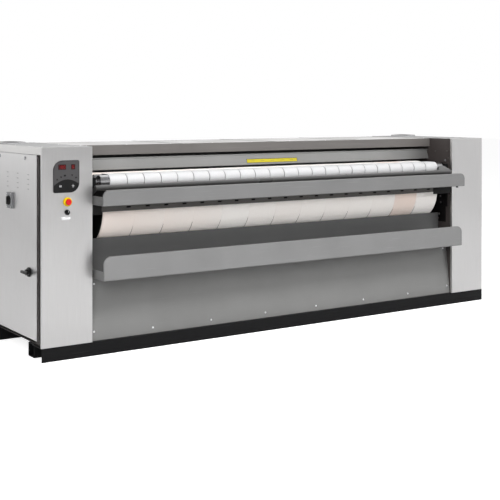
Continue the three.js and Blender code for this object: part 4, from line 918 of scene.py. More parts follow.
def tray_shape(half, shift, front, bottom, top, corner, back, roll_back=7 * MM):
    """Half width at height z: half - corner + sqrt(corner^2 - (z - top + corner)^2) within the corner. The
    last roll_back metres of the lip's ends follow a quarter circle backwards. From HELD_FROM backwards
    the sheet keeps within HELD_HALF."""
    path = fold_path(front, bottom, top, back)
    into = np.clip(path[:, 1] - (top - corner), 0, corner)
    reach = (half - corner + np.sqrt(corner**2 - into**2))[:, None]
    inner = np.concatenate([np.linspace(0, 0.985, 12)[:-1], np.linspace(0.985, 1, 9)])
    share = np.concatenate([-inner[:0:-1], inner])
    x = share[None, :] * reach
    lip = np.clip((back - path[:, 0]) / (back - front), 0, 1)[:, None] > 0.9
    over = np.clip(np.abs(x) - (reach - roll_back), 0, None) * lip
    angle = over / roll_back * math.pi / 2
    turned_x = np.where(over > 0, reach - roll_back + roll_back * np.sin(angle), np.abs(x))
    y = path[:, :1] + roll_back * (1 - np.cos(angle))
    x = np.sign(x) * turned_x + shift
    x = np.where(y > HELD_FROM, np.clip(x, -HELD_HALF, HELD_HALF), x)
    points = np.stack([x, y, np.broadcast_to(path[:, 1:], x.shape)], -1)
    return points.reshape(-1, 3), [cells(*x.shape)]


def thickened(piece, thickness):
    wall = piece.modifiers.new("sheet", "SOLIDIFY")
    wall.thickness, wall.offset, wall.use_even_offset = thickness, -1.0, True


# A lip's end that is wider than the opening stops 1.5 mm in front of the cabinets. Each tray also has two
# corner pieces at its back, next to the opening's walls.
BEFORE_CABINETS = -447 * MM
CORNER_PIECE = 1640 * MM, 1667.7 * MM
# For each tray its half width, its shift to the right, its corner and its back edge, in millimetres.
TRAYS = {"upper_tray": (1667, 11, 42, -425.5), "lower_tray": (1650, 3, 50, -321.5)}


def make_tray(node):
    low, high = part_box(node)
    half, shift, corner, back = np.array(TRAYS[node]) * MM
    shape = tray_shape(half, shift, low.y, low.z, high.z, corner, back)
    tray = make_piece(f"{node}_lip", shape, finish_of(node), crease=40, replaces=node, closed=False)
    thickened(tray, 2 * MM)
    ends = []
    for side in (-1, 1):
        x = sorted([side * half + shift, side * (half - 2 * MM) + shift])
        reach = high.y if max(np.abs(x)) < HELD_HALF else BEFORE_CABINETS
        ends.append(block((x[0], low.y + 14 * MM, low.z + 2 * MM), (x[1], reach, low.z + 60 * MM), 0.8))
        x = sorted(side * end for end in CORNER_PIECE)
        ends.append(block((x[0], high.y - 40 * MM, low.z), (x[1], high.y, low.z + 40 * MM), 1.2))
    make_piece(f"{node}_ends", ends, finish_of(node), crease=30)
    print(node, "reaches from", round(low.y, 3), "to", round(float(back), 3))


for name in TRAYS:
    make_tray(name)

# %% [markdown]
# ## Guard bar
#
# The bar in front of the feed roller is a tube that is open at the back. Its section is an arc with a wall,
# and the section is drawn along the whole opening. Two arms hold it on their pins.

# %% Open tube and its arms
GUARD, GUARD_PIN = mm(-447.5, 1120), mm(-400.5, 1085)
BAR_HALF = 1648 * MM


def open_tube(centre, radius, wall, mouth, steps=30):
    """Outer arc from mouth to 360 - mouth degrees, a half circle round the wall's edge, and the inner arc
    back, with a half circle again."""
    out = np.radians(np.linspace(mouth, 360 - mouth, steps))
    middle = radius - wall / 2
    cap = np.radians(np.linspace(0, 180, 6))[1:-1]

    def edge(angle, sense):
        return polar(middle + wall / 2 * np.cos(cap), angle + sense * wall / 2 * np.sin(cap) / middle)

    rows = [polar(radius, out), edge(out[-1], 1), polar(radius - wall, out[::-1]), edge(out[0], -1)[::-1]]
    return centre + np.concatenate(rows)


def guard_bar():
    tube = open_tube(GUARD, 18.5 * MM, 2.5 * MM, 50)
    shapes = [drawn([(x, tube) for x in np.linspace(-BAR_HALF, BAR_HALF, 9)])]
    arm = belt_line(GUARD, 18.4 * MM, GUARD_PIN, 12 * MM, 10, 2)[:-1]
    for side, sign in SIDES:
        ends = sorted([sign * (BAR_HALF - 8 * MM), sign * (BAR_HALF + 0.2 * MM)])
        shapes.append(drawn([(x, arm) for x in ends]))
        pin = [(0, 5), (0, 6), (26, 6), (28, 5)]
        shapes.append(turned((sign * (BAR_HALF - 1 * MM), *GUARD_PIN), side, pin, 4))
        boss = [(0, 11), (0, 12), (3, 12), (4, 11), (4, 7)]
        shapes.append(turned((sign * BAR_HALF, *GUARD_PIN), side, boss, 5))
    return shapes


# The bar's coat carries painted shade on its underside.
bar = make_piece("guard_bar_tube", guard_bar(), "bar_grey", "guard_bar", replaces="finger_guard_bar")
print("guard bar", round(2 * BAR_HALF, 3), "m long")

# %% [markdown]
# ## Feed rollers
#
# Both feed rollers are bright turned steel: a body with chamfered ends on a thinner shaft. The front one
# carries a small chain wheel inside the right cabinet.

# %% Turned rollers
ROLLER_HALF = 1590
CHAIN_PITCH = 15.875 * MM
ROLLER_TEETH = 11


def roller(centre, radius, shaft, left, right, half=ROLLER_HALF, chamfer=2):
    """A bar along X, turned from its (x, radius) profile in millimetres."""
    profile = [
        (left, shaft - 1), (left + 1, shaft), (-half, shaft), (-half, radius - chamfer),
        (-half + chamfer, radius), (half - chamfer, radius), (half, radius - chamfer), (half, shaft),
        (right - 1, shaft), (right, shaft - 1),
    ]
    return turned((left * MM, *centre), "right", [(x - left, r) for x, r in profile], 11)


def chain_wheel(centre, pitch, teeth, x_from, x_to):
    """Outline r(t) = R + 0.26 pitch * s, where s is a cosine of teeth * t pushed towards -1 and 1, so the
    teeth are rounded and narrower at their tips. The rim is bevelled to the sides."""
    mean = pitch / (2 * math.sin(math.pi / teeth))
    t = np.linspace(0, 2 * math.pi, teeth * 8, endpoint=False)
    wave = np.tanh(1.6 * np.cos(teeth * t)) / math.tanh(1.6)
    sections = []
    for x, shrink in [(x_from, 0.55), (x_from + 2 * MM, 1), (x_to - 2 * MM, 1), (x_to, 0.55)]:
        r = mean + 0.26 * pitch * np.where(wave > 0, wave * shrink, wave)
        sections.append((x, centre + polar(r, t)))
    return drawn(sections)


front = [roller(FEED, FEED_R, 12, -1660, 1764)]
front.append(chain_wheel(FEED, CHAIN_PITCH, ROLLER_TEETH, 1752 * MM, 1760 * MM))
make_piece("feed_roller_front", front, "bright_steel", "front_roller", replaces="front_feed_roller")
nose = roller(NOSE, NOSE_R, 8, -1660, 1660)
make_piece("feed_roller_nose", nose, "bright_steel", "nose_roller", replaces="nose_feed_roller")
print("feed rollers", 2 * FEED_R, "and", 2 * NOSE_R, "mm across")

# %% [markdown]
# ## Screws and bolts
#
# Panels are held by small button-head screws, frames by hexagon bolts. One head is a stack of a few
# outlines, and a row of heads is one piece. The socket of a button head is a real recess, so it shades from
# every side.

# %% Heads in rows
def button_head(place, facing, radius=4.5):
    """A low dome whose height is 0.55 * sqrt(radius^2 - r^2) + 0.25, with a sunk socket."""
    across = radius * np.array([1.0, 0.98, 0.85, 0.62, 0.48])
    dome = [(0.55 * math.sqrt(max(radius**2 - r**2, 0)) + 0.25, r) for r in across]
    return turned(place, facing, [(0, radius)] + dome + [(0.2 * radius, 0.44 * radius)], 2)


def hex_bolt(place, facing, across=10.0, turn=0.0):
    """Washer as a flat ring, then a six-sided head with a rounded top. A hexagon is a circle of six
    points."""
    washer = turned(place, facing, [(0, across * 0.95), (1.6, across * 0.95), (1.6, across * 0.5)], 3)
    t = np.radians(np.arange(6) * 60 + turn)
    corner = across / math.sqrt(3)
    layers = [(1.5, corner), (across * 0.5, corner), (across * 0.62, corner * 0.84)]
    return [washer, layered(place, facing, [(height, polar(r, t)) for height, r in layers])]


def row_of(name, heads, finish="screw_zinc_glint", body="frame"):
    make_piece(name, heads, finish, body, 30)
    print(name, len(heads))


# %% Screws of the panels
BACK_Y, COVER_Z, CABINET_Z = 584.5, 1397, 1400
PANEL_FOOT, PANEL_HEAD = np.array([-419.5, 92.3]), np.array([-373.5, 513.7])


def on_panel(x, z):
    """Point of the leaning lower panel at height z: y lies on the straight line from its foot to its
    head."""
    share = (z - PANEL_FOOT[1]) / (PANEL_HEAD[1] - PANEL_FOOT[1])
    return mm(x, PANEL_FOOT[0] + share * (PANEL_HEAD[0] - PANEL_FOOT[0]), z)


def crossed(xs, others):
    return [(x, other) for x in xs for other in others]


lean = math.atan2(*(PANEL_HEAD - PANEL_FOOT))
LEANING = np.array([[1, 0, 0], [0, math.sin(lean), math.cos(lean)], [0, -math.cos(lean), math.sin(lean)]])
spots = [(x, 130) for x in (-1192, -715, -238, 238, 715, 1192)]
spots += [(sign * x, z) for _, sign in SIDES for x, z in ((1640, 153), (1625, 468))]
row_of("lower_panel_screws", [button_head(on_panel(x, z), LEANING, 7.5) for x, z in spots])
spots = crossed(np.linspace(-1620, 1620, 10), (-150, 560))
row_of("top_cover_screws", [button_head(mm(x, y, COVER_Z), "up") for x, y in spots])
spots = crossed(np.linspace(-1640, 1640, 9), (115, 740, 1375))
row_of("back_panel_screws", [button_head(mm(x, BACK_Y, z), "back") for x, z in spots])
for side, sign in SIDES:
    spots = crossed((1690, 2005), (115, 430, 745, 1060, 1375))
    row_of(f"{side}_cabinet_back_screws", [button_head(mm(sign * x, BACK_Y, z), "back") for x, z in spots])
    spots = crossed((1690, 2006), (-400, 60, 540))
    heads = [button_head(mm(sign * x, y, CABINET_Z), "up", 4.0) for x, y in spots]
    row_of(f"{side}_cabinet_top_screws", heads)

# %% [markdown]
# ## Control panel
#
# The operator's panel is a plate with two large and two small rounded corners. Its lower part is printed
# black below a curved line. Each display is a dark red window with seven-segment digits, where a digit is a
# set of lit bars. Each bar is a flat six-cornered slab, so it stays crisp from any side.

# %% The panel, its black lower zone and the small keys
PANEL_LOW, PANEL_HIGH = (-1949, 1099), (-1764, 1312)
PANEL_CORNERS = (12, 65, 12, 65)
FRONT = mm(0, -445.8, 0)


def on_front(x, z):
    return FRONT + mm(x, 0, z)


def zone_shape():
    """The panel's outline, 2.2 mm further in, held under the curve z = 1186 - 36 ((x + 1852) / 90)^2."""
    edge = cut_outline(PANEL_LOW, PANEL_HIGH, PANEL_CORNERS, 2.2, 16)
    x = np.linspace(edge[:, 0].min(), edge[:, 0].max(), 49)
    curve = 1186 - 36 * ((x + 1852) / 90) ** 2
    under = edge[edge[:, 1] < PANEL_LOW[1] + 66]
    order = np.argsort(under[:, 0])
    foot = np.interp(x, under[order, 0], under[order, 1])
    top = np.maximum(curve, foot + 0.3)
    flat = np.concatenate([np.stack([x, foot], -1), np.stack([x[::-1], top[::-1]], -1)])
    return slab(flat, "front", FRONT, 5.0, 5.25)


layers = [(-0.4, 0.0), (3.8, 0.0), (4.7, 0.4), (5.0, 1.2)]
face = [(height, cut_outline(PANEL_LOW, PANEL_HIGH, PANEL_CORNERS, inset)) for height, inset in layers]
make_piece("control_face", layered(FRONT, "front", face), "panel_face", crease=40, replaces="control_panel")
make_piece("control_zone", zone_shape(), "black_film", crease=40)

UP_ARROW = np.array([[0, 6.4], [-7.6, -4.8], [7.6, -4.8]])
DOWN_ARROW = (UP_ARROW * (1, -1))[::-1]
BAR_MARK = np.array([[-8, -5.2], [8, -5.2], [8, 5.2], [-8, 5.2]])
SMALL_KEYS = [
    (-1923, 1188, UP_ARROW), (-1895, 1202, DOWN_ARROW), (-1868, 1212, BAR_MARK), (-1817, 1213, DOWN_ARROW),
    (-1789, 1198, UP_ARROW),
]
pad = [(5.0, 10, 8, 3), (5.4, 9.6, 7.6, 2.8), (5.5, 9, 7, 2.4)]
pads = [stack(on_front(x, z), "front", pad, 3) for x, z, _ in SMALL_KEYS]
make_piece("small_keys", pads, "panel_face", crease=40)
marks = [slab(mark, "front", on_front(x, z), 5.5, 5.65) for x, z, mark in SMALL_KEYS]
make_piece("small_key_marks", marks, "black_film", crease=40)
print("panel with", len(pads), "small keys")

# %% Displays with their digits
LIT = {"0": "abcdef", "1": "bc", "6": "acdefg", "8": "abcdefg"}


def digit(mark, place, width=9.0, height=17.0, bar=2.1, gap=0.45):
    """Seven bars: a top, b and c right, d bottom, e and f left, g middle. Each is a six-cornered outline
    between two ends, with points half a bar wide."""
    w, h = width / 2, height / 2
    ends = {
        "a": ((-w, h), (w, h)), "d": ((-w, -h), (w, -h)), "g": ((-w, 0), (w, 0)),
        "b": ((w, 0), (w, h)), "c": ((w, -h), (w, 0)), "f": ((-w, 0), (-w, h)), "e": ((-w, -h), (-w, 0)),
    }
    shapes = []
    for key in LIT[mark]:
        a, b = (np.array(p, float) for p in ends[key])
        way = (b - a) / np.linalg.norm(b - a)
        side = np.array([-way[1], way[0]])
        a, b = a + way * gap, b - way * gap
        plus, minus = (way + side) * bar / 2, (way - side) * bar / 2
        shapes.append(slab([a, a + minus, b - plus, b, b - minus, a + plus], "front", place, 0.0, 0.3))
    return shapes


def make_display(node, centre, half_a, digits, pitch):
    spot = on_front(*centre)
    rim = [(4.9, half_a + 2.2, 17.2, 2.4), (5.5, half_a + 1.8, 16.8, 2.2), (5.6, half_a + 0.4, 15.4, 1)]
    make_piece(f"{node}_rim", stack(spot, "front", rim, 3), "black_film", crease=40)
    glass = [(4.9, half_a, 15, 1), (5.75, half_a, 15, 1), (5.9, half_a - 0.5, 14.5, 0.8)]
    make_piece(f"{node}_window", stack(spot, "front", glass, 3), "display", crease=40, replaces=node)
    first = -(len(digits) - 1) / 2 * pitch
    shapes = [digit(mark, spot + mm(first + k * pitch, -5.9, 0)) for k, mark in enumerate(digits)]
    make_piece(f"{node}_digits", shapes, "digit", crease=40)
    print(node, "shows", digits)


make_display("temperature_display", (-1887.5, 1268), 25.5, "180", 15)
make_display("speed_display", (-1809.5, 1268), 12.5, "6", 12)

# %% Large keys with their marks
def make_key(node, centre, body, marks):
    spot = on_front(*centre)
    cap = turned(spot, "front", [(4.9, 12), (6.2, 12), (6.8, 11.6), (7.0, 11), (6.9, 9)], 7)
    make_piece(f"{node}_cap", cap, "black_film", body, replaces=node)
    shapes = [slab(mark, "front", spot, 6.85, 7.15) for mark in marks]
    make_piece(f"{node}_mark", shapes, "key_print", body, 40)
    print(node, "with", len(marks), "marks")


def lozenge(x, z, half):
    return np.array([[half, 0], [0, half], [-half, 0], [0, -half]]) + (x, z)


UPRIGHT_BAR = np.array([[-2.6, -6.24], [2.6, -6.24], [2.6, 6.24], [-2.6, 6.24]])
make_key("stop_key", (-1900, 1143), "halt_button", [UPRIGHT_BAR + (x, 0) for x in (-4.2, 4.2)])
small_marks = [lozenge(x, z, 2.4) for x, z in ((8, 0), (-8, 0), (0, 8), (0, -8))]
make_key("start_key", (-1811, 1143), "start_button", [lozenge(0, 0, 4.6)] + small_marks)

# %% [markdown]
# ## Emergency stop, selector and plates
#
# An emergency stop is a mushroom on a stem inside a yellow collar. The selector is a round knob with a
# raised ridge and a white pointer. Both are turned shapes with a soft outer edge, as moulded parts have.

# %% Emergency stop
STOP = on_front(-1848, 1038)
collar = [
    (-0.3, 30), (7.6, 30), (9.2, 29.2), (9.7, 27.6), (9.7, 22), (8.6, 20.5), (4, 20), (4, 10), (-0.3, 10),
]
collar = turned(STOP, "front", collar, 13, hollow=True)
make_piece("stop_collar", collar, "yellow_plastic", replaces="emergency_stop_collar")
mushroom = [
    (5.2, 9), (15.7, 9), (15.9, 18.6), (16.6, 19.7), (18, 20), (24, 20), (26, 19.2), (27.3, 16.5), (27.7, 13),
    (27.4, 10), (26.6, 8.6), (26.5, 4),
]
mushroom = turned(STOP, "front", mushroom, 13)
make_piece("stop_mushroom", mushroom, "red_plastic", "stop_button", 45, "emergency_stop_button")
print("emergency stop at", STOP.round(3))

# %% Selector and bare plates
KNOB = on_front(-1850, 969)
bezel = turned(KNOB, "front", [(-0.3, 20), (1.8, 20), (2.6, 19), (2.6, 17.2)])
make_piece("selector_bezel", bezel, "bright_steel")
knob = turned(KNOB, "front", [(2.2, 17), (10.4, 16.6), (11.4, 16), (11.7, 14.8)])
ridge = [(11.2, 5, 15, 2.5), (21.5, 4.6, 14.6, 2.4), (23, 4.1, 14, 2), (23.6, 3.2, 13, 1.6)]
knob = [knob, stack(KNOB, "front", ridge, 4)]
make_piece("selector_grip", knob, "black_plastic", "selector", replaces="selector_knob")
pointer = stack(KNOB + mm(0, 0, 7), "front", [(23.5, 0.8, 5.5, 0.4), (23.8, 0.8, 5.5, 0.4)], 2)
make_piece("selector_pointer", pointer, "white_label", "selector")


def bare_plate(name, centre, half_a, half_b, facing, finish, corner=2.0):
    layers = [(-0.2, half_a, half_b, corner), (0.5, half_a, half_b, corner)]
    layers.append((0.7, half_a - 0.3, half_b - 0.3, corner))
    make_piece(name, stack(centre, facing, layers, 3), finish, crease=40)


bare_plate("selector_plate", mm(-1859, -445.6, 929.5), 31, 10, "front", "white_label")
bare_plate("rating_plate", mm(-1848, BACK_Y + 0.1, 1180), 60, 40, "back", "bright_steel", 4)
print("selector at", KNOB.round(3))

# %% [markdown]
# ## Switch, handles and locks on the sides
#
# The main switch has a square frame with a round well and a grip that turns in it. The doors close with
# T-shaped handles, and each has two flush locks with a slot for a key.

# %% Main switch
SWITCH = mm(-2028.3, 89.5, 1021)
well = [
    (-0.2, 45, 55, 6), (15.2, 45, 55, 6), (17.2, 43.2, 53.2, 5), (17.7, 41, 51, 4),
    (17.7, 35, 35, 35), (17, 34, 34, 34), (7.7, 33.4, 33.4, 33.4),
]
well = stack(SWITCH, "left", well, 9)
make_piece("switch_frame", well, "grey_plastic", "left_door", replaces="isolator_switch")
corners = [SWITCH + mm(-17.6, y, z) for y, z in crossed((-35, 35), (-45, 45))]
row_of("switch_screws", [button_head(c, "left", 3.6) for c in corners], body="left_door")
rotor = turned(SWITCH, "left", [(7.2, 31.5), (22.6, 31.5), (24, 30.4), (24.4, 28.5), (24.4, 24)], 11)
grip = [(23.5, 9, 28, 4.5), (32, 8.4, 27.4, 4), (34.6, 7.4, 26.4, 3.6), (35.6, 5.8, 24.8, 3)]
grip = [rotor, stack(SWITCH, "left", grip)]
make_piece("switch_grip", grip, "black_plastic", "main_switch_handle", replaces="isolator_handle")

# %% Handles and locks, the same on both doors
DOOR_X = 2028
LOCK_Y = {"front": -164.5, "rear": 299.5}


def make_handle(side, sign):
    place = mm(sign * DOOR_X, -234.5, 565)
    bar = [
        (23.5, 48, 7, 6.5), (25, 54, 9.2, 7), (29, 56, 10, 7.5), (37, 56, 10, 7.5), (41, 53.5, 8.4, 6),
        (42, 50, 6, 4),
    ]
    shapes = [
        turned(place, side, [(0.1, 32), (6, 32), (10.5, 30), (12, 27), (12, 20), (26, 20), (26, 16)]),
        stack(place, side, bar),
        turned(place, side, [(41.6, 7.5), (42.6, 7.5), (43, 6.8), (43, 4)], 5),
        turned(place, side, [(-24, 7.5), (0.5, 8)], 5),
    ]
    make_piece(f"{side}_grip", shapes, "black_plastic", f"{side}_handle", replaces=f"{side}_door_handle")


def half_disc(radius, gap, sign, steps=10):
    """The part of a circle that lies more than gap from the middle line, on the given side."""
    reach = math.acos(gap / radius)
    t = np.linspace(-reach, reach, steps)
    return polar(radius, t) * sign


def make_lock(side, sign, end):
    node = f"{side}_{end}_door_lock"
    place = mm(sign * DOOR_X, LOCK_Y[end], 1320)
    shapes = [
        turned(place, side, [(0.1, 13.5), (1.6, 13.5), (2.2, 12.8), (2.2, 11)]),
        turned(place, side, [(0.5, 11), (3.0, 11), (3.0, 8)]),
        [slab(half_disc(11, 1.6, half), side, place, 2.8, 5.0, 0.08) for half in (-1, 1)],
        turned(place, side, [(-22, 7), (0.4, 8)], 4),
    ]
    make_piece(f"{node}_barrel", shapes, "bright_steel", nodes[node]["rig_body"], replaces=node)


for side, sign in SIDES:
    for end in LOCK_Y:
        make_lock(side, sign, end)
for side, sign in SIDES:
    make_handle(side, sign)

# %% Grey felt behind the doors' slots, and a light seal above each door
def sheet_between(xs, low, high, corner=0.6):
    """A thin block between two x, from (y, z) to (y, z), in millimetres."""
    near, far = sorted(xs)
    return block(mm(near, *low), mm(far, *high), corner)


for side, sign in SIDES:
    felt = sheet_between([sign * 2024.2, sign * 2025.8], (-244, 1100), (368, 1226), 0.5)
    make_piece(f"{side}_vent_felt", felt, "key_print", f"{side}_door")
# The seal fills the gap under the cabinet top's side flange, 0.8 mm above the door.
for side, sign in SIDES:
    door_low, door_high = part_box(f"{side}_side_door")
    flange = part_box(f"{side}_cabinet_top")[0].z / MM
    ends = (door_low.y / MM + 3, flange - 3.2), (door_high.y / MM - 3, flange + 3)
    seal = sheet_between([sign * 2022.9, sign * 2025.3], *ends, 0.5)
    make_piece(f"{side}_door_seal", seal, "white_label")
    print(f"{side} seal under the flange at", round(flange), "mm")

# %% [markdown]
# ## Painted shade at the roll's ends
#
# Black sheets stand at the roll's ends, where they hide the bearings and paint the deep shade there. They
# are bolted to the side frames, and two narrow covers close the gap in front of the roll's ends. A black
# strip behind the slots of the rail paints them dark as shade.

# %% Black sheets that paint the shade at the roll's ends
# In millimetres from the middle: just inside the opening's walls, and the inner face of the sheets on them.
WALL_X, SHEET_X = 1667.8, 1665.6
covers = []
for sign, inner in ((-1, -1600), (1, 1450)):
    wall = [sign * 1667.6, sign * SHEET_X]
    covers.append(sheet_between(wall, (-372, 690), (110, 1004)))
    covers.append(sheet_between(wall, (-394, 820), (-371, 1004)))
    covers.append(sheet_between([sign * 1664, inner], (-447.3, 940), (-445.7, 1007)))
    covers.append(sheet_between([sign * 1664, sign * 1662], (-446, 940), (-405, 1007)))
# This sheet paints shade beside the upper tray's left end.
covers.append(sheet_between([-1640, -1537], (-388.2, 1012), (-386.8, 1096)))
make_piece("roll_end_shade_sheets", covers, "shade_black_sheet")
# A black strip behind the rail's slots paints them dark as shade.
make_piece("rail_slot_shade_strip", sheet_between([-1640, 1640], (-412.5, 959), (-410.5, 1006), 0.5), "shade_black_sheet")
print(len(covers), "black sheets")

# %% Bolts on both walls of the opening
INWARDS = ((1, "left"), (-1, "right"))


def wall_bolts(x, spots, turns):
    """Bolts at (y, z) on the right and the left wall, each turned a little further than the one before
    it."""
    return [
        hex_bolt(mm(sign * x, y, z), facing, turn=turn * k)
        for (sign, facing), turn in zip(INWARDS, turns)
        for k, (y, z) in enumerate(spots)
    ]


spots = [(-311.5, 964), (-311.5, 904), (-315.5, 852), (-297.5, 752), (-60, 964), (-60, 760)]
row_of("roll_end_bolts", wall_bolts(SHEET_X, spots, (15, 20)), "dull_bolt")
spots = [(-400, 1234), (-388, 1293), (-250, 1284)]
row_of("feed_side_bolts", wall_bolts(WALL_X, spots, (12, 18)), "rail_grey")
stops = [hex_bolt(mm(sign * WALL_X, -366, 1212), facing, 12, 25) for sign, facing in INWARDS]
row_of("feed_stop_bolts", stops, "dull_bolt")

# %% [markdown]
# ## Fingers on the roll
#
# Each joint between two strips of clothing holds a thin finger that lifts the linen off. It is a bent steel
# strip that narrows to its tip. A swept line with its own width and thickness at every point draws it, and
# a square bar carries them all.

# %% Bent fingers on their bar
ON_ROLL, ON_LEG = 12, 5


def swept_strip(path, widths, thicks, middle):
    """Rounded section of its own width (along X) and thickness (across the path) at each (y, z) of the
    path."""
    tangent = np.gradient(path, axis=0)
    normal = np.stack([-tangent[:, 1], tangent[:, 0]], -1)
    normal /= np.linalg.norm(normal, axis=1, keepdims=True)
    t = np.linspace(0, 2 * math.pi, 10, endpoint=False)
    wide = widths[:, None] / 2 * np.cos(t)
    high = thicks[:, None] / 2 * np.sin(t)
    flat = path[:, None, :] + normal[:, None, :] * high[..., None]
    return loft(np.concatenate([(middle + wide)[..., None], flat], -1))


def fingers_and_bar():
    """Each finger's middle line runs down from the tip on a circle 2.2 mm outside the roll, from 63 to 37
    degrees before its lowest point, and is then bent away from it to the bar."""
    low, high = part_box("stripper_comb")
    angle = np.radians(-90 - np.linspace(63, 37, ON_ROLL))
    lying = ROLL_R + 2.2 * MM
    arc = (ROLL_Y, ROLL_Z) + polar(lying, angle)
    foot = arc[-1] + mm(-2, -3)
    leg = np.stack([np.full(ON_LEG, foot[0]), np.linspace(foot[1], low.z + 6 * MM, ON_LEG)], -1)
    path = np.concatenate([arc, leg])
    widths = np.concatenate([np.linspace(1.4, 4.4, ON_ROLL), np.full(ON_LEG, 5.0)]) * MM
    thicks = np.concatenate([np.linspace(0.9, 1.8, ON_ROLL), np.full(ON_LEG, 2.2)]) * MM
    shapes = [swept_strip(path, widths, thicks, -ROLL_HALF + STRIP * k) for k in range(1, ROLL_STRIPS)]
    back = min(high.y, path[-1, 0] + 10 * MM)
    return shapes + [block((low.x, path[-1, 0] - 4 * MM, low.z), (high.x, back, low.z + 14 * MM), 1.2)]


make_piece("lifting_fingers", fingers_and_bar(), "finger_brown", crease=40, replaces="stripper_comb")
print(ROLL_STRIPS - 1, "fingers")

# %% [markdown]
# ## Plates, catches and collars
#
# The bare yellow plate on the flap leans with it. A plate on a leaning face needs its own three directions:
# along the face, up the slope, and out of it. The exhaust collars end in a rolled bead with rivets below
# it. Each has a light seal round its foot and a wire guard over its mouth.

# %% Yellow plate on the flap
# The flap's face, in millimetres: (y, z) of its top, and how far it comes forward over how much height.
FLAP_TOP = (-147.5, 1302)
FLAP_RUN, FLAP_RISE = 22, 68
slope = np.array([FLAP_RUN, FLAP_RISE]) / math.hypot(FLAP_RUN, FLAP_RISE)
FLAP_FACE = np.array([[1, 0, 0], [0, slope[0], slope[1]], [0, -slope[1], slope[0]]])
PLATE_Z = 1250.5


def on_flap(x, z):
    """Point of the flap's leaning face at height z."""
    return mm(x, FLAP_TOP[0] - (FLAP_TOP[1] - z) * FLAP_RUN / FLAP_RISE, z)


plate = [(-0.1, 240, 15, 1.5), (0.4, 240, 15, 1.5), (0.5, 239.6, 14.6, 1.2)]
make_piece("flap_plate", stack(on_flap(3, PLATE_Z), FLAP_FACE, plate, 3), "yellow_label", "flap", 40)
edge = [(0.2, 240.8, 15.8, 2), (0.55, 240.8, 15.8, 2), (0.55, 238.2, 13.2, 1), (0.2, 238.2, 13.2, 1)]
rim = stack(on_flap(3, PLATE_Z), FLAP_FACE, edge, 3, hollow=True)
make_piece("flap_plate_rim", rim, "black_film", "flap", 40)
dash = [(0.4, 17, 3.2, 1), (0.62, 17, 3.2, 1)]
marks = [stack(on_flap(x, PLATE_Z), FLAP_FACE, dash, 2) for x in (-180, -90, 3, 96, 186)]
make_piece("flap_plate_marks", marks, "dull_print", "flap", 40)
print("plate with", len(marks), "dashes")

# %% End plate of the guard bar, and the catch under the upper tray
# The plate is a thin sheet that stands on the bar's right end and slopes down to it.
slope_plate = [(1523, 1132), (1649, 1132), (1649, 1141), (1576, 1172), (1556, 1175), (1523, 1172)]
end_plate = slab(slope_plate, "front", mm(0, -438, 0), 0, 2.5)
make_piece("guard_bar_end_plate", end_plate, "tray_grey", "guard_bar")
DOWN = np.array([[1, 0, 0], [0, -1, 0], [0, 0, -1]], float)
knurled = [(-0.4, 4), (3, 4), (3, 9), (4, 10), (12, 10), (13.2, 9), (13.2, 4)]
make_piece("tray_catch", turned(mm(1608, -565.5, 1008.6), DOWN, knurled, 7), "black_plastic")
print("end plate and catch")

# %% Exhaust collars
COLLAR_X, COLLAR_Y, RIVETS = 1908, 424.5, 8


def bead(radius, height, size, steps=8):
    """Profile of a wire bent to a ring."""
    t = np.linspace(0, 2 * math.pi, steps, endpoint=False)
    return [(height + size * math.sin(a), radius + size * math.cos(a)) for a in t]


seal = [(0.6, 110.5), (9.2, 110.5), (9.2, 109.7), (0.6, 109.7)]
head = [(-0.3, 2.6), (0.5, 2.4), (1.1, 1.5)]
beads, seals, rivets, guards = [], [], [], []
for _, sign in SIDES:
    centre = mm(sign * COLLAR_X, COLLAR_Y, CABINET_Z)
    beads.append(turned(centre, "up", bead(109.2, 10.6, 1.9), 15, hollow=True))
    seals.append(turned(centre, "up", seal, 15, hollow=True))
    for k in range(RIVETS):
        t = k * 2 * math.pi / RIVETS + 0.2
        out = np.array([math.cos(t), math.sin(t), 0])
        axes = np.array([[-out[1], out[0], 0], [0, 0, 1], out])
        rivets.append(turned(centre + out * 109.8 * MM + mm(0, 0, 5), axes, head, 3))
    guards += [turned(centre, "up", bead(r, 8.6, 1.3, 6), 9, hollow=True) for r in range(14, 100, 14)]
    for long, wide in ((103, 2), (2, 103)):
        guards.append(block(centre + mm(-long, -wide, 5), centre + mm(long, wide, 7), 0.4))
make_piece("collar_guards", guards, "key_print")
make_piece("collar_seals", seals, "key_print")
make_piece("collar_beads", beads, "stainless_top", crease=60)
make_piece("collar_rivets", rivets, "dull_bolt")
print(len(beads), "collars with", len(rivets), "rivets")

# %% [markdown]
# ## Drive in the right cabinet
#
# Behind the right door two roller chains leave the roll: one comes up from the gearmotor, the other drives
# the feed roller. A roller chain is one link repeated along the line round its wheels. Wider and narrower
# links alternate, and a roller sits at every joint. One link has few faces, because it is drawn over a
# hundred times.

# %% Roller chains
ROLL_AXIS = np.array([ROLL_Y, ROLL_Z])
motor_low, motor_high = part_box("gearmotor")
MOTOR_AXIS = np.array([ROLL_Y, (motor_low.z + motor_high.z) / 2])
CHAIN_LAP = 4.5 * MM


def even_points(line, pitch):
    """An even number of points, about one to a pitch, evenly spaced along the closed line."""
    length = length_along(line)
    count = int(round(length[-1] / pitch / 2)) * 2
    at = np.linspace(0, length[-1], count, endpoint=False)
    return np.stack([np.interp(at, length, line[:, k]) for k in (0, 1)], -1)


def link_plate(a, b, x, thickness, half):
    """Two half circles about the joints a and b, joined by straight sides, as a plate across X."""
    way = (b - a) / np.linalg.norm(b - a)
    side = np.array([-way[1], way[0]])
    t = np.radians([90, 45, 0, -45, -90])[:, None]
    bow = half * (np.cos(t) * way + np.sin(t) * side)
    flat = np.concatenate([b + bow, a - bow])
    return drawn([(at, flat) for at in (x - thickness / 2, x + thickness / 2)])


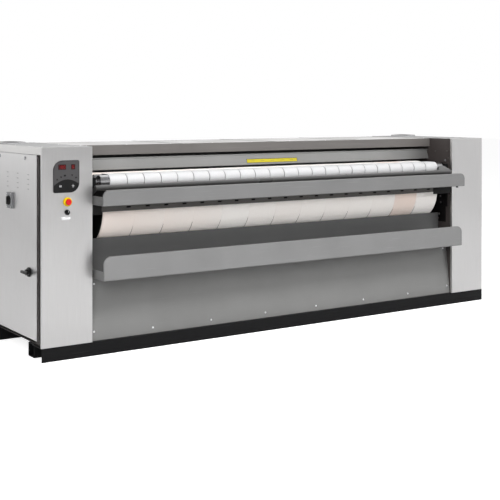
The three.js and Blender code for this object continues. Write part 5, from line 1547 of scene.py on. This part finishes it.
def make_chain(node, pitch, other_axis, roll_outer, other_outer, half):
    """Each second link lies inside its neighbours, by 1.1 times the plates' thickness."""
    low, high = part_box(node)
    line = belt_line(ROLL_AXIS, roll_outer - CHAIN_LAP, other_axis, other_outer - CHAIN_LAP, 60, 40)
    joints = even_points(line, pitch)
    width = high.x - low.x
    sheet, middle = width * 0.14, low.x + width / 2
    t = np.linspace(0, 2 * math.pi, 9)[:-1]
    circle = polar(half * 0.75, t)
    shapes = []
    for k, (a, b) in enumerate(zip(joints, np.roll(joints, -1, 0))):
        out = width / 2 - sheet * (0.5 if k % 2 else 1.6)
        shapes += [link_plate(a, b, middle + sign * out, sheet, half) for sign in (-1, 1)]
        shapes.append(drawn([(middle + sign * width * 0.49, a + circle) for sign in (-1, 1)]))
    make_piece(f"{node}_links", shapes, "galvanised", crease=40, replaces=node)
    print(node, len(joints), "links")


low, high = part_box("drive_chain")
make_chain("drive_chain", 25.4 * MM, MOTOR_AXIS, high.z - ROLL_Z, MOTOR_AXIS[1] - low.z, 4.4 * MM)
low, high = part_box("feed_chain")
make_chain("feed_chain", CHAIN_PITCH, FEED, ROLL_Z - low.z, high.z - FEED[1], 4.2 * MM)
GEARBOX_X = high.x

# %% Fins, cowl and terminal box of the motor
MOTOR_MIDDLE = np.array([motor_low.x + 80 * MM, ROLL_Y, MOTOR_AXIS[1]])
FINS_FROM, FINS_TO = 135 * MM, 330 * MM


def finned(radius, rise, count, thickness):
    """Radius over the angle: radius + rise inside a fin, which is thickness wide on the circle, else
    radius."""
    edge = thickness / radius / 2
    t = np.arange(count)[:, None] * 2 * math.pi / count + np.array([-edge * 1.5, -edge, edge, edge * 1.5])
    t = t.ravel()
    r = np.tile([radius, radius + rise, radius + rise, radius], count)
    return polar(r, t)


flat = finned(80.5, 4.5, 32, 3.2) * MM
cowl = [(0, 84), (66, 84), (76, 78), (79.6, 60), (79.6, 20)]
flange = [(-0.4, 84), (14, 84), (22, 81), (25.5, 80.2)]
motor = [
    loft([MOTOR_MIDDLE + np.insert(flat, 1, y, axis=1) for y in (FINS_FROM, FINS_TO)]),
    turned(MOTOR_MIDDLE + (0, FINS_TO, 0), "back", cowl, 11),
    turned(MOTOR_MIDDLE + mm(0, 110, 0), "back", flange, 11),
    block(MOTOR_MIDDLE + mm(-45, 165, 82), MOTOR_MIDDLE + mm(45, 265, 118), 6),
]
make_piece("motor_fins", motor, "cast_iron", crease=35)
spots = crossed((-92, 0, 92), (-78, 78)) + [(-92, 0), (92, 0)]
axis = np.array([GEARBOX_X, *MOTOR_AXIS])
row_of("gearbox_bolts", [hex_bolt(axis + mm(0, y, z), "right", turn=20 * y) for y, z in spots])
vent = MOTOR_MIDDLE + mm(0, 409.4, 0)
rings = [[(0, r), (1.6, r), (1.6, r + 4), (0, r + 4)] for r in (22, 33, 44, 55)]
make_piece("cowl_rings", [turned(vent, "back", ring, 9, hollow=True) for ring in rings], "black_plastic")

# %% [markdown]
# ## Switchgear in the left cabinet
#
# The electrical box holds three rails: circuit breakers on top, contactors in the middle, and a row of
# terminals below. They are blocks with rounded edges in a few sizes, and small levers and plates give each
# kind its face.

# %% Rows of switchgear
box_low, box_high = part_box("electrical_box")
RAIL_X = box_high.x - 14 * MM


def device(y, z, size, before=0.0):
    """A block centred at (y, z), in millimetres wide, tall and deep. It sits on the rail, or on a device
    that reaches before millimetres in front of it."""
    wide, tall, deep = np.array(size) * MM
    front = RAIL_X - before * MM
    return block((front - deep, y - wide / 2, z - tall / 2), (front, y + wide / 2, z + tall / 2), 1.4)


def along_rail(count, pitch):
    return box_low.y + 150 * MM + (np.arange(count) - (count - 1) / 2) * pitch * MM


def switchgear():
    top, middle, foot = [box_low.z + (box_high.z - box_low.z) * k / 4 for k in (3, 2, 1)]
    breakers, contactors, terminals = along_rail(12, 17.8), along_rail(4, 52), along_rail(22, 10)
    pale = [device(y, top, (17, 82, 52)) for y in breakers]
    pale += [device(y, top, (17, 44, 12), 52) for y in breakers]
    levers = [device(y, top + 3 * MM, (10, 12, 11), 63) for y in breakers]
    dark = [device(y, middle, (44, 78, 70)) for y in contactors]
    dark += [device(y, middle, (30, 30, 8), 70) for y in contactors]
    plates = [device(y, middle + 25 * MM, (34, 9, 0.8), 70) for y in contactors]
    clamps = [device(y, foot, (8.6, 48, 42)) for y in terminals]
    near, far = box_low.y + 12 * MM, box_high.y - 12 * MM
    ducts = [
        block((RAIL_X - 40 * MM, near, z - 12 * MM), (RAIL_X, far, z + 12 * MM), 1)
        for z in ((top + middle) / 2, (middle + foot) / 2)
    ]
    make_piece("breakers", pale + clamps[:14], "white_label", crease=40)
    make_piece("breaker_levers", levers, "black_plastic", crease=40)
    make_piece("contactors", dark + clamps[17:], "black_film", crease=40)
    make_piece("earth_terminals", clamps[14:17], "yellow_label", crease=40)
    make_piece("contactor_plates", plates, "white_label", crease=40)
    make_piece("wiring_ducts", ducts, "grey_plastic", crease=40)
    print(len(breakers), "breakers,", len(contactors), "contactors,", len(terminals), "terminals")


switchgear()

# %% [markdown]
# ## Back and top
#
# The large rear panel is closed by cover strips, and two fields of louvres let warm air out. A louvre is a
# small hood pressed out of the sheet: deepest at its lower lip and flat at its top and sides.

# %% Louvres
def louvre(place, half=60.0, height=16.0, depth=7.0):
    """Height out of the sheet is depth * (1 - v) ** 0.7 * (1 - u ** 6), with u across from -1 to 1 and v
    upwards from 0 to 1. A dark slit lies under the lip."""
    u, v = np.meshgrid(np.linspace(-1, 1, 19), np.linspace(0, 1, 7), indexing="xy")
    out = depth * (1 - v) ** 0.7 * (1 - u**6)
    axes = AXES["back"]
    flat = u[..., None] * half * axes[0] + v[..., None] * height * axes[1] + (out[..., None] + 0.1) * axes[2]
    return (place + flat * MM).reshape(-1, 3), [cells(*u.shape)]


spots = [mm(x, BACK_Y, z) for x, z in crossed((-1240, -1100, 1100, 1240), np.arange(250, 471, 27.5))]
hoods = make_piece("rear_louvres", [louvre(spot) for spot in spots], "panel_grey", crease=60, closed=False)
thickened(hoods, 1 * MM)
# A black strip under each lip paints the shade of the louvre's opening.
slit = [(-0.2, 56, 2.4, 1), (0.25, 56, 2.4, 1)]
slits = [stack(spot + mm(0, 0, 2), "back", slit, 2) for spot in spots]
make_piece("rear_louvre_shade_strips", slits, "black_film", crease=40)
print(len(spots), "louvres")

# %% Cover strips and the supply's gland
STRIPS_X = (-827, 0, 827)


def cover_strip(place, facing, half_b):
    layers = [(-0.2, 16, half_b, 2), (1.2, 16, half_b, 2), (1.6, 15.4, half_b - 0.6, 2)]
    return stack(place, facing, layers, 2)


strips = [
    [cover_strip(mm(x, BACK_Y, 744.7), "back", 645), cover_strip(mm(x, 203.3, COVER_Z), "up", 372)]
    for x in STRIPS_X
]
make_piece("cover_strips", strips, "panel_grey", crease=40)
spots = crossed(STRIPS_X, np.linspace(130, 1360, 7))
row_of("cover_strip_screws", [button_head(mm(x, BACK_Y + 1.5, z), "back") for x, z in spots])
nut = [(0.1, 15), (2, 15), (2, 13), (12, 13), (13.4, 11.5), (13.4, 7), (12, 6)]
make_piece("supply_gland", turned(mm(-1900, BACK_Y, 200), "back", nut, 2), "black_plastic")
